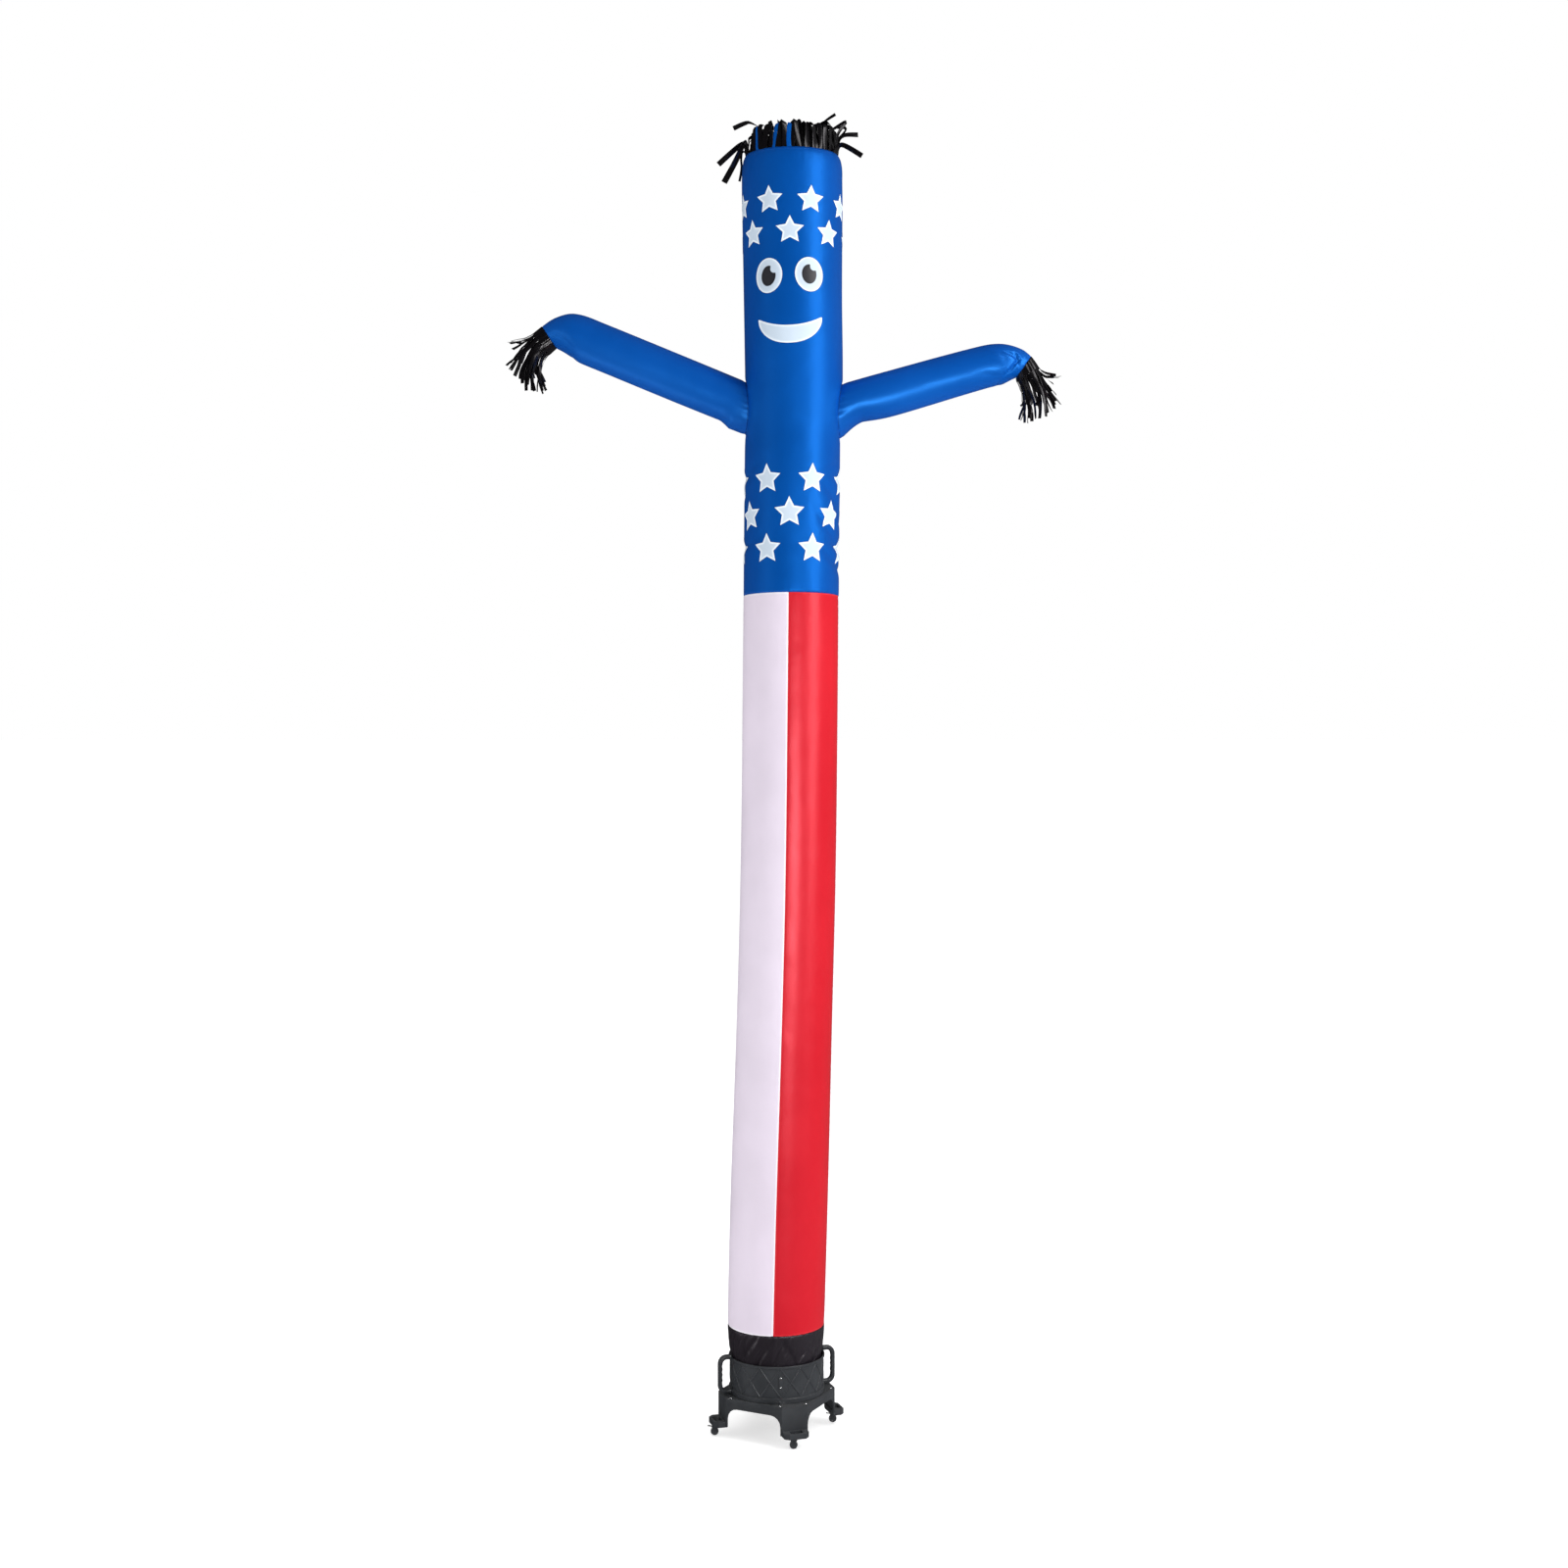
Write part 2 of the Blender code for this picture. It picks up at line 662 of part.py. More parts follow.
def build_ribbons(material):
    """Blue ribbons behind gaps of the black fringe, on a strip of their own."""
    lean, radius = TUBE_SHAPE[-1][1:]
    radius -= CLOTH + RIBBON_INSET
    middle = Vector((lean, 0.0, TUBE_TOP + GAP))
    edge, outward, paths = [], [], []
    for azimuth in RIBBON_AZIMUTHS:
        for offset in (-RIBBON_HALF_ANGLE, RIBBON_HALF_ANGLE):
            outward.append(direction(azimuth + offset))
            edge.append(middle + outward[-1] * radius)
        inner = radius * math.cos(math.radians(RIBBON_HALF_ANGLE)) - CLOTH / 2
        root = middle + direction(azimuth) * inner + Vector((0.0, 0.0, FRINGE_BAND))
        out = direction(azimuth)
        rises = [RIBBON_RISE * t / STRAND_STEPS for t in range(1, STRAND_STEPS + 1)]
        paths.append([root - out * RIBBON_LEAN * z + Vector((0.0, 0.0, z)) for z in rises])
    fringe("hair_ribbons", edge, outward, Vector((0.0, 0.0, 1.0)), paths, material, closed=False)


# ================================================================ the drum
def build_drum(material):
    """The drum, turned, with a relief of raised diamond ribs and a collar inside its rim."""
    inner = DRUM_RADIUS - DRUM_WALL
    profile = (
        (BAND_RADIUS, DRUM_FOOT),
        (BAND_RADIUS, RELIEF_LOW - 0.003),
        (DRUM_RADIUS, RELIEF_LOW),
        (DRUM_RADIUS, RELIEF_HIGH),
        (BAND_RADIUS, RELIEF_HIGH + 0.001),
        (BAND_RADIUS, DRUM_TOP),
        (BAND_RADIUS - DRUM_WALL, DRUM_TOP),
        (inner + 0.002, LEDGE_TOP),
        (LEDGE_RADIUS, LEDGE_TOP),
        (LEDGE_RADIUS, LEDGE_TOP - LEDGE_THICK),
        (inner, LEDGE_TOP - LEDGE_THICK - 0.006),
        (inner, DRUM_FOOT),
    )
    relief = 2  # the wall between this row of the profile and the next carries the relief
    sides = 2 * DIAMONDS
    bm = bmesh.new()

    def ring(radius, height):
        points = []
        for i in range(sides):
            p = direction(DIAMOND_AZIMUTH + 360.0 * i / sides) * radius
            points.append(bm.verts.new((p.x, p.y, height)))
        return points

    rings = [ring(r, z) for r, z in profile]
    for k in range(len(profile)):
        if k == relief:
            continue
        below, above = rings[k], rings[(k + 1) % len(profile)]
        for i in range(sides):
            j = (i + 1) % sides
            bm.faces.new((below[i], below[j], above[j], above[i]))

    low, high = rings[relief], rings[relief + 1]
    crossings = ring(DRUM_RADIUS, (RELIEF_LOW + RELIEF_HIGH) / 2)[1::2]
    panels = []
    for k in range(DIAMONDS):
        i, j, n = 2 * k, 2 * k + 1, (2 * k + 2) % sides
        left, right = crossings[k - 1], crossings[k]
        panels.append([bm.faces.new((left, low[i], high[i])), bm.faces.new((low[i], right, high[i]))])
        panels.append([bm.faces.new((high[i], right, high[j])), bm.faces.new((high[j], right, high[n]))])
        panels.append([bm.faces.new((low[i], low[j], right)), bm.faces.new((low[j], low[n], right))])
    for orphan in [v for v in bm.verts if not v.link_faces]:
        bm.verts.remove(orphan)
    bmesh.ops.recalc_face_normals(bm, faces=bm.faces)
    for panel in panels:
        bmesh.ops.inset_region(
            bm, faces=panel, thickness=RELIEF_WIDTH, depth=-RELIEF_DEPTH,
            use_boundary=True, use_even_offset=True,
        )
    add_object("drum", mesh_from("drum", bm), material)


# ================================================================ the base
def corner_square(leg_face, half):
    """A square with cut-off corners, one of them facing -Y."""
    outline = []
    for k in range(4):
        out = direction(90.0 * k)
        aside = direction(90.0 * k + 90.0)
        for s in (-half, half):
            p = out * leg_face + aside * s
            outline.append((p.x, p.y))
    return outline


def arch_tool(azimuth):
    """A long round-shouldered bar that cuts the archway through two opposite sides."""
    outline = [(-ARCH_HALF, 0.0), (ARCH_HALF, 0.0)]
    steps = 4
    for s in (1, -1):
        for k in range(steps + 1):
            a = math.radians(90.0 * (k if s > 0 else steps - k) / steps)
            x = ARCH_HALF - ARCH_ROUND * (1 - math.cos(a))
            outline.append((s * x, ARCH_TOP - ARCH_ROUND * (1 - math.sin(a))))
    tool = prism("arch", outline, -0.4, 0.4)
    stand = Matrix.Rotation(math.radians(90), 4, "X")
    tool.data.transform(Matrix.Rotation(math.radians(azimuth), 4, "Z") @ stand)
    return tool


def build_base(material):
    base = prism("base", corner_square(LEG_FACE, LEG_HALF), LEG_FOOT, BASE_TOP)
    side_face = (LEG_FACE + LEG_HALF) / math.sqrt(2)
    inner_face = LEG_FACE - BASE_WALL
    inner_half = (side_face - BASE_WALL) * math.sqrt(2) - inner_face
    hollow = prism("hollow", corner_square(inner_face, inner_half), 0.0, BASE_TOP - BASE_WALL)
    combine(base, hollow, "DIFFERENCE")
    bore = ((0, 0.15), (BORE_RADIUS, 0.15), (BORE_RADIUS, 0.25), (0, 0.25))
    combine(base, turned("bore", bore, 2 * DIAMONDS), "DIFFERENCE")
    for azimuth in (45, 135):
        combine(base, arch_tool(azimuth), "DIFFERENCE")
    for k in range(4):
        turn = Matrix.Rotation(math.radians(90.0 * k), 4, "Z")
        for tool, operation in foot_tools():
            tool.data.transform(turn)
            combine(base, tool, operation)
    base.rotation_euler = (0.0, 0.0, math.radians(YAW))
    base.data.materials.clear()
    base.data.materials.append(material)


def foot_tools():
    """One foot at -Y: a block fused to the leg, a pocket in its top, and the castor's hole."""
    inside = LEG_FACE - BASE_WALL - 0.004
    out = (
        (-FOOT_HALF, -inside),
        (-FOOT_HALF, -FOOT_OUT + FOOT_CUT),
        (-FOOT_HALF + FOOT_CUT, -FOOT_OUT),
        (FOOT_HALF - FOOT_CUT, -FOOT_OUT),
        (FOOT_HALF, -FOOT_OUT + FOOT_CUT),
        (FOOT_HALF, -inside),
    )
    yield prism("foot", out, FOOT_LOW, FOOT_HIGH), "UNION"
    pocket = (
        (-POCKET_HALF, -POCKET_OUT),
        (POCKET_HALF, -POCKET_OUT),
        (POCKET_HALF, -POCKET_IN),
        (-POCKET_HALF, -POCKET_IN),
    )
    yield prism("pocket", pocket, POCKET_FLOOR, FOOT_HIGH + 0.01), "DIFFERENCE"
    low, high = Vector((0, -CASTOR_OUT, FOOT_LOW - 0.01)), Vector((0, -CASTOR_OUT, FOOT_HIGH + 0.01))
    yield rod("hole", STEM_RADIUS + GAP, low, high, 12), "DIFFERENCE"


def dome(name, radius, high, sides):
    """A low round screw head standing on the ground plane."""
    profile = ((0, 0), (radius, 0), (radius, 0.45 * high), (0.6 * radius, high), (0, high))
    return turned(name, profile, sides)


def build_bolts(material):
    head = dome("bolt_head", BOLT_RADIUS, BOLT_HIGH, 8)
    mesh = head.data
    bpy.data.objects.remove(head)
    mesh.materials.append(material)
    for k in range(4):
        for s, side in ((-1, "a"), (1, "b")):
            azimuth = YAW + 90.0 * k
            ob = add_object(f"base_bolt_{k + 1}{side}", mesh)
            place = direction(azimuth) * BOLT_OUT + direction(azimuth + 90) * BOLT_ASIDE * s
            ob.location = (place.x, place.y, BASE_TOP + GAP)


# ================================================================ handles and tie plate
def handle_stations():
    """Middle points of the grip in (reach, height), with the way along it and the finger hollows."""
    half = HANDLE_THICK / 2
    low, high, out = HANDLE_LOW + half, HANDLE_HIGH - half, HANDLE_OUT - half
    start = BAND_RADIUS + GAP
    bend_out = out - HANDLE_CORNER
    bend_low, bend_high = low + HANDLE_CORNER, high - HANDLE_CORNER
    turns = [30.0 * k for k in range(4)]

    def bend(height, turn):
        a = math.radians(turn)
        reach = bend_out + HANDLE_CORNER * math.sin(a)
        return reach, height - HANDLE_CORNER * math.cos(a), turn, 0.0

    stations = [(start, low, 0.0, 0.0)]
    stations += [bend(bend_low, turn) for turn in turns]
    for k in range(1, 2 * FINGERS):
        hollow = FINGER_DEPTH if k % 2 else 0.0
        stations.append((out, bend_low + (bend_high - bend_low) * k / (2 * FINGERS), 90.0, hollow))
    stations += [bend(bend_high, 90.0 + turn) for turn in turns]
    stations.append((start, high, 180.0, 0.0))
    return stations


def build_handle(name, azimuth, material):
    """A bowed grip, swept along its stations with an eight-sided section."""
    bm = bmesh.new()
    cut = 0.35
    outline = ((1, cut), (cut, 1), (-cut, 1), (-1, cut), (-1, -cut), (-cut, -1), (cut, -1), (1, -cut))
    rings = []
    for reach, height, way, hollow in handle_stations():
        w = math.radians(way)
        outer = Vector((math.sin(w), 0.0, -math.cos(w)))
        ring = []
        for u, v in outline:
            thick = HANDLE_THICK / 2 - (hollow if u < 0 else 0.0)
            p = Vector((reach, 0.0, height)) + outer * u * thick + Vector((0, 1, 0)) * v * HANDLE_WIDE / 2
            ring.append(bm.verts.new(p))
        rings.append(ring)
    for below, above in zip(rings, rings[1:]):
        for i in range(8):
            j = (i + 1) % 8
            bm.faces.new((below[i], below[j], above[j], above[i]))
    bm.faces.new(rings[0])
    bm.faces.new(rings[-1])
    ob = add_object(name, mesh_from(name, bm), material)
    ob.rotation_euler = (0.0, 0.0, math.radians(azimuth - 90.0))


def build_tie_plate(plastic, metal):
    """A small plate with two screws in the diamond at the front."""
    seat = PLATE_SEAT + GAP
    cut = 0.004
    half, rise = PLATE_WIDE / 2, PLATE_HIGH / 2
    outline = []
    for sx, sy in ((1, 1), (-1, 1), (-1, -1), (1, -1)):
        ends = [(sx * half, sy * (rise - cut)), (sx * (half - cut), sy * rise)]
        outline += ends if sx * sy > 0 else ends[::-1]
    plate = prism("tie_plate", outline, 0.0, PLATE_THICK)
    stand = Matrix.Rotation(math.radians(90), 4, "X")
    turn = Matrix.Rotation(math.radians(DIAMOND_AZIMUTH), 4, "Z")
    lift = Matrix.Translation((0.0, -seat, PLATE_MIDDLE))
    plate.data.transform(turn @ lift @ stand)
    plate.data.materials.append(plastic)
    for k, s in enumerate((-1, 1)):
        screw = dome(f"tie_screw_{k + 1}", SCREW_RADIUS, SCREW_HIGH, 8)
        place = Matrix.Translation((0.0, -seat - PLATE_THICK - GAP, PLATE_MIDDLE + s * SCREW_APART / 2))
        screw.data.transform(turn @ place @ stand)
        screw.data.materials.append(metal)


# ================================================================ castors
def fork_mesh(material):
    """A castor's yoke: crown, stem with its nut, two cheeks and two cross pins, round the swivel."""
    crown_high = FOOT_LOW - GAP
    crown_low = crown_high - CROWN_THICK
    nut_low = POCKET_FLOOR + GAP
    profile = (
        (0, crown_low),
        (CROWN_RADIUS, crown_low),
        (CROWN_RADIUS, crown_high),
        (STEM_RADIUS, crown_high),
        (STEM_RADIUS, nut_low),
        (NUT_RADIUS, nut_low),
        (NUT_RADIUS, nut_low + NUT_THICK),
        (0, nut_low + NUT_THICK),
    )
    fork = turned("fork", profile, 12, 15)
    for s in (-1, 1):
        outline = [(0.009, crown_low + 0.002), (0.004, crown_low - 0.006)]
        for k in range(5):
            a = math.radians(-20.0 - 35.0 * k)
            outline.append((-TRAIL + 0.0055 * math.cos(a), WHEEL_RADIUS + 0.0055 * math.sin(a)))
        outline += [(-0.0255, LEVER_HIGH - 0.003), (-0.0255, LEVER_HIGH + 0.003), (-0.012, crown_low + 0.002)]
        inner, outer = sorted((s * CHEEK_INNER, s * (CHEEK_INNER + CHEEK_THICK)))
        cheek = prism("cheek", outline, -outer, -inner)
        cheek.data.transform(Matrix.Rotation(math.radians(90), 4, "X"))
        combine(fork, cheek, "UNION")
    reach = CHEEK_INNER + CHEEK_THICK / 2
    for x, z, radius in ((-TRAIL, WHEEL_RADIUS, AXLE_RADIUS), (-LEVER_BACK, LEVER_HIGH, LEVER_PIN)):
        pin = rod("pin", radius, Vector((x, -reach, z)), Vector((x, reach, z)), 8)
        combine(fork, pin, "UNION")
    mesh = fork.data
    mesh.materials.clear()
    mesh.materials.append(material)
    bpy.data.objects.remove(fork)
    return mesh


def wheel_mesh(material):
    """A wheel round its own axle, with a flat facet under it."""
    tread = WHEEL_RADIUS / math.cos(math.pi / WHEEL_SIDES)
    half = WHEEL_WIDE / 2
    bore = AXLE_RADIUS + GAP
    profile = (
        (bore, -half),
        (tread - 0.002, -half),
        (tread, -half + 0.002),
        (tread, half - 0.002),
        (tread - 0.002, half),
        (bore, half),
    )
    wheel = turned("wheel", profile, WHEEL_SIDES, 180.0 / WHEEL_SIDES)
    mesh = wheel.data
    mesh.transform(Matrix.Rotation(math.radians(90), 4, "X"))
    mesh.materials.append(material)
    bpy.data.objects.remove(wheel)
    return mesh


def lever_mesh(material):
    """A brake tab round its own pin, pointing to -X."""
    barrel = ((LEVER_PIN + GAP, -LEVER_HALF), (LEVER_BARREL, -LEVER_HALF))
    barrel += ((LEVER_BARREL, LEVER_HALF), (LEVER_PIN + GAP, LEVER_HALF))
    lever = turned("lever", barrel, 10)
    half = LEVER_THICK / 2
    start = LEVER_BARREL - 0.001
    outline = ((-start, -half), (-start, half), (-LEVER_REACH + 0.003, half), (-LEVER_REACH, 0.0))
    outline += ((-LEVER_REACH, -half), )
    tab = prism("tab", outline, -LEVER_HALF + 0.0005, LEVER_HALF - 0.0005)
    combine(lever, tab, "UNION")
    mesh = lever.data
    stand = Matrix.Rotation(math.radians(90), 4, "X")
    mesh.transform(Matrix.Rotation(math.radians(LEVER_LIFT), 4, "Y") @ stand)
    mesh.materials.clear()
    mesh.materials.append(material)
    bpy.data.objects.remove(lever)
    return mesh


def build_castors(frame_finish, wheel_finish):
    fork, wheel, lever = fork_mesh(frame_finish), wheel_mesh(wheel_finish), lever_mesh(frame_finish)
    for k, letter in enumerate("BCDA"):
        place = direction(YAW + 90.0 * k) * CASTOR_OUT
        yoke = add_object(f"castor_{letter}_fork", fork)
        yoke.location = place
        spinner = add_object(f"castor_{letter}_wheel", wheel)
        spinner.parent = yoke
        spinner.location = (-TRAIL, 0.0, WHEEL_RADIUS)
        brake = add_object(f"castor_{letter}_brake", lever)
        brake.parent = yoke
        brake.location = (-LEVER_BACK, 0.0, LEVER_HIGH)


# ================================================================ the whole
def main():
    clear_scene()
    blue = finish("blue_cloth", (0.006, 0.075, 0.42), 0.38)
    white = finish("white_cloth", (0.78, 0.72, 0.80), 0.45)
    red = finish("red_cloth", (0.72, 0.012, 0.03), 0.38)
    black = finish("black_cloth", (0.025, 0.02, 0.026), 0.5)
    plastic = finish("dark_plastic", (0.06, 0.065, 0.075), 0.45)
    metal = finish("zinc_steel", (0.6, 0.6, 0.62), 0.3, 1.0)
    tyre = finish("grey_tyre", (0.32, 0.33, 0.35), 0.4)

    build_sleeve(black)
    build_panels({"red": red, "white": white})
    build_body(blue)
    for arm in ARMS:
        build_arm(arm, blue, black)
        build_tassel(arm, black)
    build_hair(black)
    build_ribbons(blue)
    build_drum(plastic)
    build_base(plastic)
    build_bolts(metal)
    for name, azimuth in (("handle_left", YAW - 90.0), ("handle_right", YAW + 90.0)):
        build_handle(name, azimuth, plastic)
    build_tie_plate(plastic, metal)
    build_castors(plastic, tyre)


main()
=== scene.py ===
import math
import random

import bmesh
import bpy
import numpy as np
from mathutils import Matrix, Vector


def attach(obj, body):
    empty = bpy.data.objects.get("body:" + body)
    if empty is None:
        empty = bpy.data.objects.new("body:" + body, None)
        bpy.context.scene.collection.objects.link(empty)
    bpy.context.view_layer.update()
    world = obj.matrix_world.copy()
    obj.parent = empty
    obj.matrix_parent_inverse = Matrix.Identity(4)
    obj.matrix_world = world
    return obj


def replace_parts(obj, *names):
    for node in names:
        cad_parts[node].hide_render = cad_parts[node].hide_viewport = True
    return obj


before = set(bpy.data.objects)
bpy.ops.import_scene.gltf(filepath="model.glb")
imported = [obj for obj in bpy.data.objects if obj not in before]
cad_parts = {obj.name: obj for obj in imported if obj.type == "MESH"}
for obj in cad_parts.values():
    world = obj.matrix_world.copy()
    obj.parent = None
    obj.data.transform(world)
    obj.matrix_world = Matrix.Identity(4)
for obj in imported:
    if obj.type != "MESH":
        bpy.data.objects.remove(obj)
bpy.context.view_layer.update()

# ================================================================ studio
# A pale floor with no edge in sight, a bright room, a tall softbox at the viewer's right that draws
# the long highlight down the tube, and weaker ones round it. The camera stands as high as the
# dancer's middle and looks slightly down.
CHEST = 3.2  # the height that every softbox faces
FLOOR_REACH, FLOOR_GLOW = 120.0, 0.56
CAMERA_AT, CAMERA_DOWN = (0.035, -10.59, 3.581), 0.939  # how many degrees it looks down
SOFTBOXES = (
    # name, azimuth (90 is the viewer's right), distance, height, width, length, power, what it spares
    ("key", 56, 6.0, 5.5, 1.8, 7.8, 272, None),
    ("side", 95, 6.0, 4.2, 3.0, 5.0, 62, "visible_glossy"),
    ("low", 13, 6.5, 2.2, 1.2, 1.2, 140, "visible_diffuse"),
    ("fill", -60, 7.0, 3.6, 3.0, 5.0, 40, None),
    ("foot", -72, 3.4, 0.6, 1.8, 1.0, 14, "visible_diffuse"),
    ("back", 180, 8.0, 4.5, 4.0, 4.0, 90, "visible_glossy"),
)
scene = bpy.context.scene
scene.view_settings.view_transform = "Standard"


def linked(name, data):
    ob = bpy.data.objects.new(name, data)
    scene.collection.objects.link(ob)
    return ob


def direction(azimuth):
    """The level unit vector at an azimuth in degrees: 0 is the front and 90 the viewer's right."""
    a = math.radians(azimuth)
    return Vector((math.sin(a), -math.cos(a), 0.0))


camera_data = bpy.data.cameras.new("camera")
camera_data.lens = 51.16
camera_data.sensor_width = 36.0
camera_data.shift_y = -0.04375
camera = linked("camera", camera_data)
camera.location = CAMERA_AT
camera.rotation_euler = (math.radians(90 - CAMERA_DOWN), 0, 0)
scene.camera = camera

for name, azimuth, distance, height, width, length, power, spared in SOFTBOXES:
    lamp = bpy.data.lights.new(f"{name}_softbox", "AREA")
    lamp.shape = "RECTANGLE"
    lamp.size, lamp.size_y, lamp.energy = width, length, power
    box = linked(f"{name}_softbox", lamp)
    box.location = direction(azimuth) * distance + Vector((0, 0, height))
    box.rotation_euler = (Vector((0, 0, CHEST)) - box.location).to_track_quat("-Z", "Y").to_euler()
    if spared:
        setattr(box, spared, False)


def feed(tree, node, inputs):
    """Give a node's inputs plain values, or link them to other nodes' outputs."""
    for key, value in inputs.items():
        if isinstance(value, bpy.types.NodeSocket):
            tree.links.new(value, node.inputs[key])
        else:
            node.inputs[key].default_value = value


def put(tree, kind, inputs=None, **settings):
    """Add a node, set its options, feed it, and return its first output, if it has one."""
    node = tree.nodes.new(kind)
    for key, value in settings.items():
        setattr(node, key, value)
    feed(tree, node, inputs or {})
    return node.outputs[0] if len(node.outputs) else None


def also(socket, name):
    """Another output of the node that a socket belongs to."""
    return socket.node.outputs[name]


def ranged(tree, value, to_low, to_high, low=0.0, high=1.0):
    return put(tree, "ShaderNodeMapRange", {
        "Value": value, "From Min": low, "From Max": high, "To Min": to_low, "To Max": to_high,
    })


room = bpy.data.worlds.new("room")
scene.world = room
room.use_nodes = True
air = room.node_tree
air.nodes.clear()
across = also(put(air, "ShaderNodeSeparateXYZ", {0: also(put(air, "ShaderNodeTexCoord"), "Generated")}), "X")
ray = put(air, "ShaderNodeLightPath")
lit = put(air, "ShaderNodeMix", {
    "Factor": also(ray, "Is Glossy Ray"),
    "A": ranged(air, across, 0.72, 0.74, -1.0), "B": ranged(air, across, 0.03, 0.22),
})
strength = put(air, "ShaderNodeMix", {"Factor": also(ray, "Is Camera Ray"), "A": lit, "B": 1.0})
glow = put(air, "ShaderNodeBackground", {"Color": (1, 1, 1, 1), "Strength": strength})
put(air, "ShaderNodeOutputWorld", {0: glow})


def new_finish(name):
    """A new material, its node tree and its shader."""
    material = bpy.data.materials.new(name)
    material.use_nodes = True
    return material, material.node_tree, material.node_tree.nodes["Principled BSDF"]


pale, tree, shader = new_finish("pale_floor")
feed(tree, shader, {
    "Base Color": (0.8, 0.8, 0.8, 1), "Roughness": 0.9,
    "Emission Color": (1, 1, 1, 1), "Emission Strength": FLOOR_GLOW,
})
floor_mesh = bpy.data.meshes.new("floor")
corners = [(x * FLOOR_REACH, y * FLOOR_REACH, 0) for x, y in ((-1, -1), (1, -1), (1, 1), (-1, 1))]
floor_mesh.from_pydata(corners, [], [(0, 1, 2, 3)])
floor_mesh.materials.append(pale)
floor = linked("floor", floor_mesh)
floor.location.z = -0.0005
floor.visible_glossy = False


# ================================================================ castors
# Four small swivel castors, bought in, each held by a nut in the pocket of a foot. A black fork
# carries a grey plastic wheel on its axle, and a brake tab on a pin of its own.
ROOT = "dancer_and_blower"
FRONT_LEG = 18.0  # azimuth of the leg nearest the front
CASTOR_OUT = 0.296
WHEEL = 0.019
TRAIL = 0.012
HALF_WHEEL = (  # radius, distance from the wheel's middle plane
    (0.0028, 0.0066), (0.0058, 0.0068), (0.0064, 0.0063), (0.0067, 0.0044), (0.0126, 0.0044),
    (0.0134, 0.0050), (0.0140, 0.0065), (0.0168, 0.0070), (0.0181, 0.0061), (0.0188, 0.0042),
    (WHEEL, 0.0018),
)
MOST_NOISE = (0.3, 0.7)  # the values that noise mostly lies between
SOFT_CORNER = 38.0  # a rounded edge is shaded smooth up to this angle


def maths(tree, operation, *values):
    return put(tree, "ShaderNodeMath", dict(enumerate(values)), operation=operation)


def split(tree, vector):
    return put(tree, "ShaderNodeSeparateXYZ", {0: vector})


def combined(tree, x=0.0, y=0.0, z=0.0):
    return put(tree, "ShaderNodeCombineXYZ", {0: x, 1: y, 2: z})


def own_place(tree):
    """Where a point of the surface is in its piece's own space."""
    return also(put(tree, "ShaderNodeTexCoord"), "Object")


def noise(tree, at, scale, **more):
    return put(tree, "ShaderNodeTexNoise", {"Vector": at, "Scale": scale, **more})


def scaled(tree, vector, factor):
    return put(tree, "ShaderNodeVectorMath", {0: vector, "Scale": factor}, operation="SCALE")


def mixed(tree, factor, plain, other):
    return also(put(tree, "ShaderNodeMix", {0: factor, 6: plain, 7: other}, data_type="RGBA"), 2)


def bumped(tree, height, distance, strength, **below):
    sizes = {"Height": height, "Distance": distance, "Strength": strength}
    return put(tree, "ShaderNodeBump", {**sizes, **below})


def moulded(name, colour, roughness, grain=700.0, bump=0.25, dust=0.10):
    """Moulded plastic: a fine leathery grain, faint flow marks and a little dust on what faces up."""
    material, tree, shader = new_finish(name)
    at = own_place(tree)
    flow = noise(tree, at, 11.0, Detail=4.0)
    plain = scaled(tree, colour, ranged(tree, flow, 0.86, 1.12, *MOST_NOISE))
    up = also(split(tree, also(put(tree, "ShaderNodeNewGeometry"), "Normal")), "Z")
    lying = maths(tree, "MULTIPLY", up, noise(tree, at, 60.0, Detail=5.0))
    skin = bumped(tree, put(tree, "ShaderNodeTexVoronoi", {"Vector": at, "Scale": grain}), 0.0002, bump)
    feed(tree, shader, {
        "Base Color": mixed(tree, ranged(tree, lying, 0.0, dust, 0.2, 0.7), plain, (0.45, 0.44, 0.42, 1)),
        "Roughness": ranged(tree, flow, roughness - 0.05, roughness + 0.06, *MOST_NOISE),
        "Normal": bumped(tree, flow, 0.0015, 0.3, Normal=skin), "Specular IOR Level": 0.5,
    })
    return material


black_plastic = moulded("black_plastic", (0.031, 0.034, 0.039), 0.33)
clear_grey = moulded("clear_grey_plastic", (0.058, 0.061, 0.067), 0.10, 300.0, 0.05, 0.04)


def evaluated(ob):
    """The object with its modifiers made part of its mesh."""
    graph = bpy.context.evaluated_depsgraph_get()
    graph.update()
    mesh = bpy.data.meshes.new_from_object(ob.evaluated_get(graph))
    ob.modifiers.clear()
    ob.data = mesh
    mesh.name = ob.name
    return ob


def placed(name, mesh, material, body=ROOT):
    """A finished piece: its material and the body that it moves with."""
    ob = linked(name, mesh)
    if material:
        mesh.materials.clear()
        mesh.materials.append(material)
    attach(ob, body)
    return ob


def plain_mesh(name, shape, corner=None):
    """A mesh from worked faces, smooth but for what is sharper than the corner."""
    mesh = bpy.data.meshes.new(name)
    shape.to_mesh(mesh)
    shape.free()
    if corner is not None:
        mesh.shade_smooth()
        mesh.set_sharp_from_angle(angle=math.radians(corner))
    return mesh


